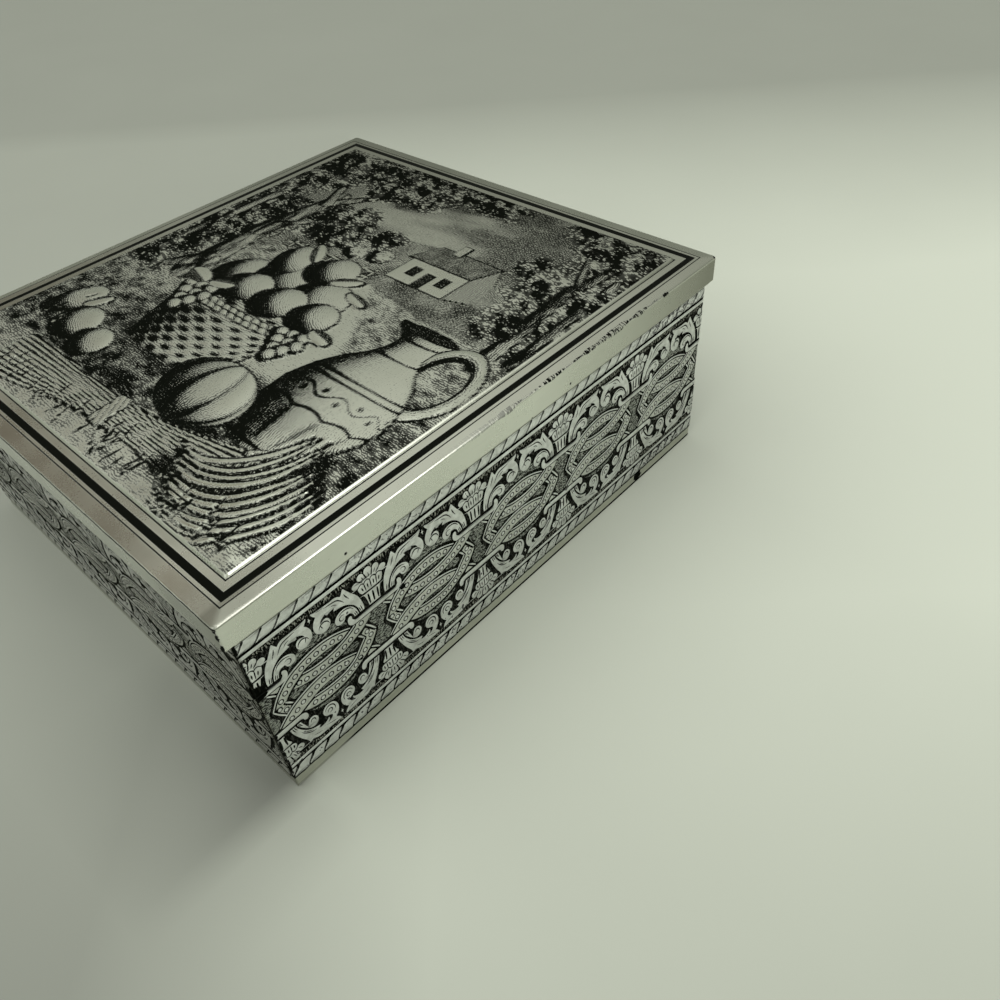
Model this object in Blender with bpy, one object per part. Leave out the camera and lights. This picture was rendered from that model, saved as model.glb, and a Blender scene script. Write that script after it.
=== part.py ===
"""Hinged biscuit tin: lithographed tinplate box with an embossed lid on a wire hinge.

Metres, +Z up. The origin is on the ground below the middle of the lid.
X runs left to right, the front is at -Y and the hinge is at the back, at +Y.
Each sheet piece is drawn as the face that shows, and Solidify gives it the thickness of the plate.
"""

from math import asin, cos, pi, radians, sin

import bmesh
import bpy
from mathutils import Vector

MM = 0.001

# Plate and clearances
SHEET = 0.3 * MM            # thickness of the tinplate
FIT = 0.3 * MM              # clearance between two pieces that touch
HEM_GAP = 0.1 * MM          # air left inside a hem

# Body
BODY_WIDTH = 200.4 * MM     # left to right, outside the walls
BODY_DEPTH = 212.8 * MM     # front to back, outside the walls
BODY_HEIGHT = 81.8 * MM     # foot to rim
BODY_RADIUS = 1.5 * MM      # outer radius of a bent corner
RIM_HEM = 4.0 * MM          # how far the rim is folded down inside
FOOT_HEM = 4.0 * MM         # how far the foot is folded up round the base
FOOT_BEND = 0.4 * MM        # outer radius of the two bends of the foot
LAP = 8.0 * MM              # overlap of the two sheets at a seamed corner
LAP_BEND = 0.6 * MM         # outer radius of the bend that starts the lap
RELIEF = 0.5 * MM           # slit beside a fold, so that the plate can bend

# Base
BASE_MARGIN = 12.0 * MM     # flat border of the base
BASE_STEP = 1.2 * MM        # how far the middle of the base is pressed down
BASE_STEP_RUN = 1.4 * MM    # width of that slope
BASE_BEND = 0.6 * MM        # outer radius of the bend of the base
BASE_PANEL_RADIUS = 6.0 * MM

# Lid
LID_SIDE_REACH = 1.05 * MM  # the skirt's outer face stands this far outside the side walls
LID_FRONT_REACH = 2.8 * MM
SKIRT_DEPTH = 10.1 * MM
LID_RADIUS = 1.2 * MM       # corner radius in plan
EDGE_BEND = 0.8 * MM        # bend between top and skirt
BORDER_FALL = 0.4 * MM      # the plain border slopes down by this much to the edge
BORDER_END = 4.8 * MM       # width of the plain border at front and back
BORDER_SIDE = 3.8 * MM      # and at the sides
FRAME_FRONT = 11.4 * MM     # lid edge to the foot of the raised panel
FRAME_BACK = 12.0 * MM
FRAME_RIGHT = 10.7 * MM
FRAME_LEFT = 13.6 * MM
PANEL_RISE = 1.0 * MM       # height of the step round the embossed panel
PANEL_STEP_RUN = 1.0 * MM
PANEL_PILLOW = 0.8 * MM     # further rise towards the middle
PANEL_PILLOW_RUN = 24.0 * MM
PANEL_RADIUS = 0.8 * MM
LID_HEM = 4.0 * MM          # how far the skirt's lower edge is folded up inside

# Hinge
WIRE_DIAMETER = 2.0 * MM
WIRE_END_GAP = 2.0 * MM     # wire end to the skirt's side
CURL_WALL_GAP = 0.76 * MM   # curl to the back wall of the body
CURL_WRAP = radians(300)    # how far the plate runs round the wire
STRAP_WIDTH = 22.0 * MM
STRAP_INSET = 40.2 * MM     # strap's middle to the outside of the nearer side wall
STRAP_PLAY = 0.4 * MM       # strap's side to the end of a curl
STRAP_TAIL = 10.0 * MM      # soldered tail inside the wall, below the slot
STRAP_TAIL_STEP = 1.5 * MM  # the upper tail is longer by this
STRAP_BEND = 0.35 * MM      # middle radius of the bend where a tail turns down
NOTCH_MARGIN = 0.4 * MM     # skirt notch to the strap's loop

# Facets
CORNER_STEPS = 4
BEND_STEPS = 3
HEM_STEPS = 6
CURL_STEPS = 20
LOOP_STEPS = 20
WIRE_SIDES = 24

# Sizes that follow
HEM_RADIUS = (2 * SHEET + HEM_GAP) / 2
FOOT_WIDTH = 3 * SHEET + 2 * FIT
HEM_CLEAR = FOOT_WIDTH + 3 * FIT
CURL_RADIUS = WIRE_DIAMETER / 2 + FIT + SHEET
LID_BACK_REACH = CURL_WALL_GAP + 2 * CURL_RADIUS

HALF_WIDTH = BODY_WIDTH / 2
HALF_DEPTH = BODY_DEPTH / 2
BODY_Y = (LID_FRONT_REACH - LID_BACK_REACH) / 2

LID_X = HALF_WIDTH + LID_SIDE_REACH
LID_Y = HALF_DEPTH + (LID_FRONT_REACH + LID_BACK_REACH) / 2
LID_TOP = BODY_HEIGHT + FIT + SHEET + BORDER_FALL
SKIRT_FOOT = LID_TOP - SKIRT_DEPTH

HINGE_Y = LID_Y - CURL_RADIUS
HINGE_Z = SKIRT_FOOT + CURL_RADIUS
HINGE = Vector((0, HINGE_Y, HINGE_Z))

BASE_TOP = FOOT_HEM + FIT + SHEET
NECK_HALF = SHEET + FIT / 2


def arc(centre, radius, start, end, steps):
    """Points (u, v) from angle start to angle end, both included."""
    turn = (end - start) / steps
    angles = [start + turn * i for i in range(steps + 1)]
    return [(centre[0] + radius * cos(t), centre[1] + radius * sin(t)) for t in angles]


def grid(rows, closed=False):
    """Quads between rows of points. Rows run anticlockwise, and follow each other outwards or down."""
    quads = []
    for upper, lower in zip(rows, rows[1:]):
        count = len(upper) if closed else len(upper) - 1
        for i in range(count):
            j = (i + 1) % len(upper)
            quads.append((upper[i], lower[i], lower[j], upper[j]))
    return quads


def fold(start, end, inward, section):
    """Quads of a fold along the straight edge from start to end; section holds (inset, height)."""
    rows = []
    for inset, height in section:
        rows.append([Vector((*(point + inward * inset), height)) for point in (start, end)])
    return grid(rows)


def material(name, colour, roughness, metallic=1.0):
    made = bpy.data.materials.new(name)
    made.use_nodes = True
    shader = made.node_tree.nodes["Principled BSDF"]
    shader.inputs["Base Color"].default_value = (*colour, 1)
    shader.inputs["Roughness"].default_value = roughness
    shader.inputs["Metallic"].default_value = metallic
    return made


def mesh_object(name, bm, finish, origin):
    """Links a bmesh drawn in world space as an object whose origin is at the given point."""
    bmesh.ops.translate(bm, verts=bm.verts, vec=-origin)
    mesh = bpy.data.meshes.new(name)
    bm.to_mesh(mesh)
    bm.free()
    mesh.materials.append(finish)
    mesh.shade_smooth()
    mesh.set_sharp_from_angle(angle=radians(35))
    made = bpy.data.objects.new(name, mesh)
    made.location = origin
    bpy.context.collection.objects.link(made)
    return made


def sheet_object(name, faces, finish, origin, offset=-1):
    """One piece of plate: the faces are joined where they meet, and get the plate's thickness."""
    bm = bmesh.new()
    for corners in faces:
        bm.faces.new([bm.verts.new(corner) for corner in corners])
    bmesh.ops.remove_doubles(bm, verts=bm.verts, dist=0.001 * MM)
    made = mesh_object(name, bm, finish, origin)
    plate = made.modifiers.new("plate", "SOLIDIFY")
    plate.thickness = SHEET
    plate.offset = offset
    plate.use_even_offset = True
    return made


def rounded_loop(x0, x1, y0, y1, radius, z, breaks):
    """Anticlockwise loop from the front right corner, with extra points at fractions of each side."""
    corners = (
        ((x1 - radius, y1 - radius), 0),
        ((x0 + radius, y1 - radius), pi / 2),
        ((x0 + radius, y0 + radius), pi),
        ((x1 - radius, y0 + radius), 3 * pi / 2),
    )
    starts = ((x1, y0 + radius), (x1 - radius, y1), (x0, y1 - radius), (x0 + radius, y0))
    loop = []
    for start, (centre, angle), fractions in zip(starts, corners, breaks):
        bend = arc(centre, radius, angle, angle + pi / 2, CORNER_STEPS)
        start, end = Vector(start), Vector(bend[0])
        loop += [tuple(start.lerp(end, fraction)) for fraction in fractions]
        loop += bend
    return [Vector((x, y, z)) for x, y in loop]


def body_sheet(name, turned, finish):
    """One of the two L-shaped wall sheets: right and back walls, or turned half round for left and front."""
    foot, rim = FOOT_BEND, BODY_HEIGHT - HEM_RADIUS
    lap_low = BASE_TOP + FIT
    lap_high = BODY_HEIGHT - RIM_HEM - FIT
    heights = [rim, lap_high, lap_high - RELIEF, lap_low + RELIEF, lap_low, foot]
    lap_x = -HALF_WIDTH + SHEET + FIT
    clear = BODY_RADIUS + HEM_CLEAR

    start = Vector((HALF_WIDTH, -HALF_DEPTH))
    side = [start + Vector((0, HEM_CLEAR)), Vector((HALF_WIDTH, HALF_DEPTH - clear))]
    back = [Vector((HALF_WIDTH - clear, HALF_DEPTH)), Vector((-HALF_WIDTH + HEM_CLEAR, HALF_DEPTH))]
    bend_centre = (HALF_WIDTH - BODY_RADIUS, HALF_DEPTH - BODY_RADIUS)
    bend = [Vector(p) for p in arc(bend_centre, BODY_RADIUS, 0, pi / 2, CORNER_STEPS)]
    lap_start = Vector((lap_x + LAP_BEND, HALF_DEPTH))
    route = [start, *side, *bend, *back, lap_start]
    faces = grid([[Vector((*point, height)) for point in route] for height in heights])

    # The plate beside the lap runs straight on, and the lap itself turns inside the next wall
    lap_end = Vector((lap_x, HALF_DEPTH))
    for upper, lower in ((heights[0], heights[1]), (heights[4], heights[5])):
        faces += grid([[Vector((*point, height)) for point in (lap_start, lap_end)] for height in (upper, lower)])
    turn = arc((lap_x + LAP_BEND, HALF_DEPTH - LAP_BEND), LAP_BEND, pi / 2, pi, BEND_STEPS)
    lap = [*turn, (lap_x, HALF_DEPTH - LAP)]
    faces += grid([[Vector((*point, height)) for point in lap] for height in heights[2:4]])

    rim_section = [(2 * HEM_RADIUS, BODY_HEIGHT - RIM_HEM)]
    rim_section += arc((HEM_RADIUS, rim), HEM_RADIUS, 0, pi, HEM_STEPS)
    foot_section = arc((FOOT_BEND, FOOT_BEND), FOOT_BEND, pi, 3 * pi / 2, BEND_STEPS)
    foot_section += arc((FOOT_WIDTH - FOOT_BEND, FOOT_BEND), FOOT_BEND, 3 * pi / 2, 2 * pi, BEND_STEPS)
    foot_section.append((FOOT_WIDTH, FOOT_HEM))
    for edge, inward in ((side, Vector((-1, 0))), (back, Vector((0, -1)))):
        faces += fold(*edge, inward, rim_section)
        faces += fold(*edge, inward, foot_section)

    made = sheet_object(name, faces, finish, Vector())
    made.location = (0, BODY_Y, 0)
    if turned:
        made.rotation_euler.z = pi
    return made


def cut_slots(wall):
    """Cuts the slots that the hinge straps pass through."""
    for x in strap_places():
        bm = bmesh.new()
        bmesh.ops.create_cube(bm, size=1)
        size = (STRAP_WIDTH + 2 * FIT, 8 * SHEET, 2 * NECK_HALF + 2 * FIT)
        bmesh.ops.scale(bm, verts=bm.verts, vec=size)
        mesh = bpy.data.meshes.new("slot_cutter")
        bm.to_mesh(mesh)
        bm.free()
        cutter = bpy.data.objects.new("slot_cutter", mesh)
        cutter.location = (x, BODY_Y + HALF_DEPTH, HINGE_Z)
        cutter.hide_render = True
        cutter.display_type = "WIRE"
        bpy.context.collection.objects.link(cutter)
        slot = wall.modifiers.new("strap slot", "BOOLEAN")
        slot.operation = "DIFFERENCE"
        slot.object = cutter


def base_panel(finish):
    """The base is a tray turned upside down: its flange stands in the folded foot of the walls."""
    flange = SHEET + FIT
    bend = arc((flange + BASE_BEND, BASE_TOP - BASE_BEND), BASE_BEND, pi / 2, pi, BEND_STEPS)
    step_inset = flange + BASE_MARGIN
    section = [(step_inset + BASE_STEP_RUN, BASE_TOP - BASE_STEP, BASE_PANEL_RADIUS - BASE_STEP_RUN)]
    section.append((step_inset, BASE_TOP, BASE_PANEL_RADIUS))
    corner = BODY_RADIUS - flange
    section += [(inset, height, corner) for inset, height in bend]
    section.append((flange, SHEET + FIT, corner))
    rows = []
    for inset, height, radius in section:
        x, y = HALF_WIDTH - inset, HALF_DEPTH - inset
        rows.append(rounded_loop(-x, x, -y, y, radius, height, [()] * 4))
    faces = [rows[0], *grid(rows, closed=True)]
    made = sheet_object("base_panel", faces, finish, Vector())
    made.location = (0, BODY_Y, 0)
    return made


def lid_breaks(curl_end, relief_end, notches):
    """Fractions along each straight side of the lid where its lower edge changes."""
    fold_end_x = LID_X - LID_RADIUS - HEM_CLEAR
    fold_end_y = LID_Y - LID_RADIUS - HEM_CLEAR

    def fractions(places, reach):
        return [(reach - place) / (2 * reach) for place in places]

    straight_x, straight_y = LID_X - LID_RADIUS, LID_Y - LID_RADIUS
    back = [relief_end, curl_end, *sorted(notches, reverse=True), -curl_end, -relief_end]
    side = fractions((fold_end_y, -fold_end_y), straight_y)
    front = fractions((fold_end_x, -fold_end_x), straight_x)
    return [side, fractions(back, straight_x), side, front]


def lid_shell(finish):
    """Pressed lid: panel, step, frame, sloping border, edge bend and skirt, with its hems and hinge curls."""
    curl_end = LID_X - LID_RADIUS - HEM_CLEAR - RELIEF
    relief_end = curl_end + RELIEF
    half_notch = STRAP_WIDTH / 2 + STRAP_PLAY
    notches = [x + way * half_notch for x in strap_places() for way in (-1, 1)]
    breaks = lid_breaks(curl_end, relief_end, notches)

    def loop(front, right, back, left, radius, height):
        return rounded_loop(-LID_X + left, LID_X - right, -LID_Y + front, LID_Y - back, radius, height, breaks)

    def framed(run, height):
        sides = [size + run for size in (FRAME_FRONT, FRAME_RIGHT, FRAME_BACK, FRAME_LEFT)]
        return loop(*sides, PANEL_RADIUS, height)

    plateau = LID_TOP + PANEL_RISE
    edge = LID_TOP - BORDER_FALL
    rows = [framed(PANEL_STEP_RUN + PANEL_PILLOW_RUN, plateau + PANEL_PILLOW)]
    rows.append(framed(PANEL_STEP_RUN, plateau))
    rows.append(framed(0, LID_TOP))
    rows.append(loop(BORDER_END, BORDER_SIDE, BORDER_END, BORDER_SIDE, LID_RADIUS, LID_TOP))
    bend = arc((EDGE_BEND, edge - EDGE_BEND), EDGE_BEND, pi / 2, pi, BEND_STEPS)
    rows += [loop(inset, inset, inset, inset, LID_RADIUS, height) for inset, height in bend]
    notch_top = HINGE_Z + CURL_RADIUS + NOTCH_MARGIN
    hem_top = SKIRT_FOOT + HEM_RADIUS
    rows += [loop(0, 0, 0, 0, LID_RADIUS, height) for height in (notch_top, HINGE_Z, hem_top)]
    faces = [rows[0], *grid(rows[:-2], closed=True)]

    # Along the lower edge each stretch ends as a plain edge, a hem, a curl or a notch
    corner = ["plain"] * CORNER_STEPS
    hemmed = ["plain", "hem", "plain"]
    hinge = ["plain", "relief", "curl", "notch", "curl", "notch", "curl", "relief", "plain"]
    kinds = [*hemmed, *corner, *hinge, *corner, *hemmed, *corner, *hemmed, *corner]
    kinds = kinds[1:] + kinds[:1]
    hem_section = arc((HEM_RADIUS, hem_top), HEM_RADIUS, pi, 2 * pi, HEM_STEPS)
    hem_section.append((2 * HEM_RADIUS, SKIRT_FOOT + LID_HEM))
    curl_section = arc((CURL_RADIUS, HINGE_Z), CURL_RADIUS, pi, pi + CURL_WRAP, CURL_STEPS)
    notch_row, curl_row, hem_row = rows[-3:]
    for i, kind in enumerate(kinds):
        j = (i + 1) % len(hem_row)
        if kind != "notch":
            faces.append((notch_row[i], curl_row[i], curl_row[j], notch_row[j]))
        if kind in ("plain", "hem"):
            faces.append((curl_row[i], hem_row[i], hem_row[j], curl_row[j]))
        if kind in ("hem", "curl"):
            start, end = hem_row[i].to_2d(), hem_row[j].to_2d()
            inward = (end - start).normalized().orthogonal()
            section = hem_section if kind == "hem" else curl_section
            faces += fold(start, end, inward, section)
    return sheet_object("lid", faces, finish, HINGE)


def strap_places():
    """X of the middle of the left and the right strap."""
    return (STRAP_INSET - HALF_WIDTH, HALF_WIDTH - STRAP_INSET)


def hinge_strap(name, x, finish):
    """Strap looped round the wire: its two tails pass the slot together and turn down inside the wall."""
    wall = -CURL_RADIUS - CURL_WALL_GAP - SHEET
    middle = SHEET / 2
    outer_tail = wall - FIT - middle
    inner_tail = outer_tail - SHEET - FIT / 2
    neck = NECK_HALF - middle
    loop = CURL_RADIUS - middle
    gap = pi - asin(neck / loop)

    path = [(outer_tail, -STRAP_TAIL)]
    path += arc((outer_tail + STRAP_BEND, -neck - STRAP_BEND), STRAP_BEND, pi, pi / 2, BEND_STEPS)
    path += arc((0, 0), loop, -gap, gap, LOOP_STEPS)
    path += arc((inner_tail + STRAP_BEND, neck - STRAP_BEND), STRAP_BEND, pi / 2, pi, BEND_STEPS)
    path.append((inner_tail, -STRAP_TAIL - STRAP_TAIL_STEP))
    ends = (x - STRAP_WIDTH / 2, x + STRAP_WIDTH / 2)
    rows = [[HINGE + Vector((end, y, z)) for end in ends] for y, z in path]
    return sheet_object(name, grid(rows), finish, Vector((x, HINGE_Y, HINGE_Z)), offset=0)


def hinge_wire(finish):
    """Round steel wire, its ends slightly rounded off."""
    length = 2 * (LID_X - SHEET - WIRE_END_GAP)
    radius = WIRE_DIAMETER / 2
    round_off = radius / 4
    section = [(0, -length / 2), (radius - round_off, -length / 2), (radius, -length / 2 + round_off)]
    section += [(r, -along) for r, along in reversed(section)]
    bm = bmesh.new()
    rings = []
    for r, along in section[1:-1]:
        circle = arc((0, 0), r, 0, 2 * pi, WIRE_SIDES)[:-1]
        rings.append([bm.verts.new(HINGE + Vector((along, y, z))) for y, z in circle])
    for first, second in zip(rings, rings[1:]):
        for i in range(WIRE_SIDES):
            j = (i + 1) % WIRE_SIDES
            bm.faces.new((first[i], first[j], second[j], second[i]))
    bm.faces.new(reversed(rings[0]))
    bm.faces.new(rings[-1])
    bmesh.ops.recalc_face_normals(bm, faces=bm.faces)
    return mesh_object("hinge_wire", bm, finish, HINGE)


def main():
    for old in list(bpy.data.objects):
        bpy.data.objects.remove(old, do_unlink=True)

    printed = material("lithographed tinplate", (0.42, 0.43, 0.38), 0.38)
    bare = material("bare tinplate", (0.62, 0.62, 0.59), 0.34)
    steel = material("drawn steel wire", (0.45, 0.45, 0.44), 0.42)

    body_sheet("body_front_sheet", True, printed)
    rear = body_sheet("body_rear_sheet", False, printed)
    cut_slots(rear)
    base_panel(bare)
    left, right = strap_places()
    hinge_strap("hinge_strap_left", left, bare)
    hinge_strap("hinge_strap_right", right, bare)

    axis = bpy.data.objects.new("lid_hinge", None)
    axis.location = HINGE
    bpy.context.collection.objects.link(axis)
    for piece in (lid_shell(printed), hinge_wire(steel)):
        piece.parent = axis
        piece.location = (0, 0, 0)
    bpy.context.view_layer.update()


main()
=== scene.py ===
# %% [markdown]
# # A hinged biscuit tin in silver and black
# The tin is made of printed tinplate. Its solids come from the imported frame: two bent wall sheets,
# a base, a pressed lid, two straps and a hinge wire. This lesson dresses those solids and adds what
# a press and a printing roller give the real tin: a raised frieze round the walls and an engraved,
# embossed picture on the lid.

# %% Load the frame
from contextlib import contextmanager
from math import cos, hypot, pi, radians, sin

import bpy
import numpy as np
from mathutils import Matrix, Vector


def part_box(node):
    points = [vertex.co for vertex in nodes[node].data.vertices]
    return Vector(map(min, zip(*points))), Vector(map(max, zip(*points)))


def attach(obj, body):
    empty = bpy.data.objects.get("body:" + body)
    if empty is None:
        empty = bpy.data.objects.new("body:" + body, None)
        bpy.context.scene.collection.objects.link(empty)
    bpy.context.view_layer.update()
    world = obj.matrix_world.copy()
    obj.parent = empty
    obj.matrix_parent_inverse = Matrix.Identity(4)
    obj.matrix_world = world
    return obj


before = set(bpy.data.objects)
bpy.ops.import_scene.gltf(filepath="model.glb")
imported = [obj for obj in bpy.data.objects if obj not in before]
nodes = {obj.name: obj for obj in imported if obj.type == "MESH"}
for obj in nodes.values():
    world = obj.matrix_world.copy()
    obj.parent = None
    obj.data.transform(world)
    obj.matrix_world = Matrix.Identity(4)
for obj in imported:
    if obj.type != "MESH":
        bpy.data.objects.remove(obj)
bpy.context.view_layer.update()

print("CAD nodes:", ", ".join(sorted(nodes)))

# %% [markdown]
# ## Sizes
# Everything is in metres, as in the frame, but ornament is easier to draw in millimetres. The sizes
# of the walls and the lid are read from the solids, so the ornament follows them.

# %% Sizes
MM = 0.001
_, wall_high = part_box("body_rear_sheet")
front_low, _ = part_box("body_front_sheet")
_, lid_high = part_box("lid")
HALF_WIDTH = wall_high.x / MM
HALF_DEPTH = (wall_high.y - front_low.y) / 2 / MM
BODY_Y = (wall_high.y + front_low.y) / 2 / MM
BODY_RADIUS = 1.5           # outer radius of a bent corner of the walls
LAP_EDGE = 1.2              # a seamed corner's flat wall ends this far from the corner
LID_X = lid_high.x / MM
LID_Y = lid_high.y / MM
LID_TOP = 82.8              # top of the frame round the picture
NEAR_CORNER = (100.6, -106.95)   # the seamed corner of the frieze that is nearest to the camera
print(f"walls {2 * HALF_WIDTH:.1f} x {2 * HALF_DEPTH:.1f} mm, lid {2 * LID_X:.1f} x {2 * LID_Y:.1f} mm")

# %% [markdown]
# ## Camera
# The camera stands above and in front of the right-hand corner. Its place, turn and lens are solved
# from the tin's own straight edges, so that the render and a photograph of the tin can be compared.

# %% Camera
bpy.ops.object.camera_add(
    location=(0.24371, -0.14805, 0.24178),
    rotation=(radians(45.7783), radians(3.8516), radians(42.4151)),
)
camera = bpy.context.object
camera.data.sensor_width = 36
camera.data.lens = 30.8464
bpy.context.scene.camera = camera
bpy.context.scene.view_settings.view_transform = "Standard"
print("camera at", [round(v, 3) for v in camera.location])

# %% [markdown]
# ## Small tools
# Every operator acts on what is selected, so one helper selects just the pieces that are meant, and
# another keeps edit mode open for the lines inside a with block.


# %% Helpers for pieces
def pick(*pieces):
    """Selects only these objects, and makes the first one active."""
    if bpy.context.object and bpy.context.object.mode != "OBJECT":
        bpy.ops.object.mode_set(mode="OBJECT")
    bpy.ops.object.select_all(action="DESELECT")
    for piece in pieces:
        piece.select_set(True)
    bpy.context.view_layer.objects.active = pieces[0]


@contextmanager
def editing(piece):
    """Edit mode with the whole piece selected, for the lines inside the with block."""
    pick(piece)
    bpy.ops.object.mode_set(mode="EDIT")
    bpy.ops.mesh.select_all(action="SELECT")
    yield
    bpy.ops.object.mode_set(mode="OBJECT")


def copy_of(piece):
    """A copy of the piece, with a mesh of its own."""
    made = piece.copy()
    made.data = piece.data.copy()
    bpy.context.collection.objects.link(made)
    return made


def drop(piece):
    bpy.data.objects.remove(piece)


def joined(name, pieces):
    pick(*pieces)
    bpy.ops.object.join()
    made = bpy.context.object
    made.name = name
    return made


def coat(piece, finish):
    """Gives the piece this finish, and no other."""
    piece.data.materials.clear()
    piece.data.materials.append(finish)


def triangles(piece):
    piece.data.calc_loop_triangles()
    return len(piece.data.loop_triangles)


print("helpers for pieces ready")

# %% [markdown]
# Shader nodes are placed and wired in one call each. A socket knows the tree that it belongs to, so
# a helper finds the tree in the sockets that it is given.


# %% Helpers for shader nodes
def is_socket(value):
    return isinstance(value, bpy.types.NodeSocket)


def wire(node, inputs):
    """Sets each input, by name or number, to its value, or links it to its socket."""
    for key, value in inputs.items():
        if is_socket(value):
            value.id_data.links.new(value, node.inputs[key])
        else:
            node.inputs[key].default_value = value


def add(tree, kind, inputs, **settings):
    """A new shader node with these settings and inputs."""
    made = tree.nodes.new("ShaderNode" + kind)
    for key, value in settings.items():
        setattr(made, key, value)
    wire(made, inputs)
    return made


def math_node(operation):
    """A function for one kind of Math node. More than two values make a chain of nodes."""
    def place(*values, clamp=False):
        tree = next(value.id_data for value in values if is_socket(value))
        made = add(tree, "Math", dict(enumerate(values[:2])), operation=operation, use_clamp=clamp)
        return place(made.outputs[0], *values[2:]) if values[2:] else made.outputs[0]
    return place


times, plus, minus = math_node("MULTIPLY"), math_node("ADD"), math_node("SUBTRACT")
most, least = math_node("MAXIMUM"), math_node("MINIMUM")
size_of, sine, root = math_node("ABSOLUTE"), math_node("SINE"), math_node("SQRT")


def ramp(value, low, high, start=0.0, end=1.0):
    """The value, spread from low..high to start..end and held there outside."""
    return add(value.id_data, "MapRange", {0: value, 1: low, 2: high, 3: start, 4: end}).outputs[0]


def fading(value, low, high):
    """A mask that is 1 up to low and 0 from high on."""
    return ramp(value, low, high, 1.0, 0.0)


def between(value, low, high, soft=0.05 * MM):
    """A mask that is 1 where the value lies between low and high."""
    return times(ramp(value, low - soft, low + soft), fading(value, high - soft, high + soft))


def blend_colour(mask, first, second, how="MIX"):
    """The first colour where the mask is 0, and the second where it is 1."""
    tree = next(value.id_data for value in (mask, first) if is_socket(value))
    return add(tree, "Mix", {0: mask, 6: first, 7: second}, data_type="RGBA", blend_type=how).outputs[2]


def blend_value(mask, first, second):
    return add(mask.id_data, "Mix", {0: mask, 2: first, 3: second}, data_type="FLOAT").outputs[0]


def noise(point, scale, detail, **inputs):
    """Smooth noise with this many waves per metre."""
    inputs = {"Vector": point, "Scale": scale, "Detail": detail, **inputs}
    return add(point.id_data, "TexNoise", inputs).outputs[0]


def squeezed(point, scale, turn=(0, 0, 0)):
    """The point, turned and scaled, so that noise on it is drawn out."""
    inputs = {"Vector": point, "Rotation": turn, "Scale": scale}
    return add(point.id_data, "Mapping", inputs).outputs[0]


def axis(point, number):
    """One coordinate of the point: 0 for x, 1 for y, 2 for z."""
    return add(point.id_data, "SeparateXYZ", {0: point}).outputs[number]


def toward(point, direction):
    """How far the point lies in this direction."""
    inputs = {0: point, 1: direction}
    return add(point.id_data, "VectorMath", inputs, operation="DOT_PRODUCT").outputs["Value"]


def gap_to(point, place):
    """Distance from a place given in mm."""
    inputs = {0: point, 1: Vector(place) * MM}
    return add(point.id_data, "VectorMath", inputs, operation="DISTANCE").outputs["Value"]


def roughened(distance, rough, amount):
    """The distance, moved this way and that by noise, over this many mm."""
    return plus(distance, times(minus(rough, 0.5), amount * MM))


def new_finish(name):
    """An empty material: itself, its Principled shader, and the object's point."""
    made = bpy.data.materials.new(name)
    made.use_nodes = True
    tree = made.node_tree
    return made, tree.nodes["Principled BSDF"], add(tree, "TexCoord", {}).outputs["Object"]


print("helpers for nodes ready")

# %% [markdown]
# ## Floor, backdrop and light
# A pale sheet lies under the tin. The lamps stand high on the right and behind, so the front wall is
# in soft shade and the rounded edge of the lid catches a bright line. Metal shows what surrounds it:
# rays that bounce off metal see a pale backdrop, while matt surfaces get an even soft light.

# %% Floor
bpy.ops.mesh.primitive_grid_add(x_subdivisions=8, y_subdivisions=8, size=7)
floor = bpy.context.object
floor.name = "floor"
floor_finish, shader, point = new_finish("floor_paper")
fibres = noise(point, 9.0, 3.0)
# Painted light: the paper's colour fades towards the left, the back and the front, where the light falls off.
sideways = toward(point, (0.737, 0.673, 0))
away = toward(point, (-0.67, 0.74, 0))
from_left = ramp(sideways, -0.05, 0.045, 0.57, 1.0)
to_back = ramp(away, 0.14, 0.42, 1.0, 0.50)
to_front = ramp(away, -0.22, -0.08, 0.72, 1.0)
painted_light_falloff = times(least(from_left, to_back), to_front)
x, y = axis(point, 0), axis(point, 1)
# Painted shadow: the paper darkens in front of the tin's front wall, most towards the near corner.
painted_shadow_depth = plus(ramp(x, 0.02, 0.055, 0.16, 0.32), ramp(x, 0.055, 0.093, 0.0, 0.28))
shade = times(ramp(y, -0.165, -0.112), painted_shadow_depth, ramp(x, 0.096, 0.107, 1.0, 0.28))
shade = times(shade, fading(x, 0.106, 0.13), fading(y, -0.107, -0.10))
painted_light_falloff = times(painted_light_falloff, minus(1.0, shade), ramp(fibres, 0.3, 0.7, 0.985, 1.015))
paper_with_painted_light = blend_colour(painted_light_falloff, (0, 0, 0, 1), (0.43, 0.452, 0.393, 1))
wire(shader, {"Base Color": paper_with_painted_light, "Roughness": 0.62, "Specular IOR Level": 0.25})
floor.data.materials.append(floor_finish)
print("floor with", len(floor_finish.node_tree.nodes), "nodes in its finish")

# %% World and lamps
world = bpy.data.worlds.new("studio")
bpy.context.scene.world = world
world.use_nodes = True
tree = world.node_tree
rays = add(tree, "LightPath", {}).outputs
seen = most(rays["Is Camera Ray"], rays["Is Glossy Ray"], rays["Is Transmission Ray"])
direction = add(tree, "TexCoord", {}).outputs["Generated"]
backdrop = blend_colour(
    ramp(axis(direction, 2), 0.2, 0.65), (0.30, 0.325, 0.265, 1), (0.50, 0.52, 0.45, 1)
)
window = ramp(toward(direction, (-0.46, 0.42, 0.78)), 0.86, 0.985)
backdrop = blend_colour(window, backdrop, (0.72, 0.73, 0.65, 1))
corner = ramp(toward(direction, (-0.83, -0.10, 0.55)), 0.86, 0.98)
backdrop = blend_colour(corner, backdrop, (0.16, 0.13, 0.095, 1))
front = ramp(toward(direction, (-0.45, -0.80, 0.40)), 0.2, 0.95)
soft_light = blend_colour(front, (0.60, 0.615, 0.57, 1), (3.0, 3.05, 2.85, 1))
wire(tree.nodes["Background"], {"Color": blend_colour(seen, soft_light, backdrop)})


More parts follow.
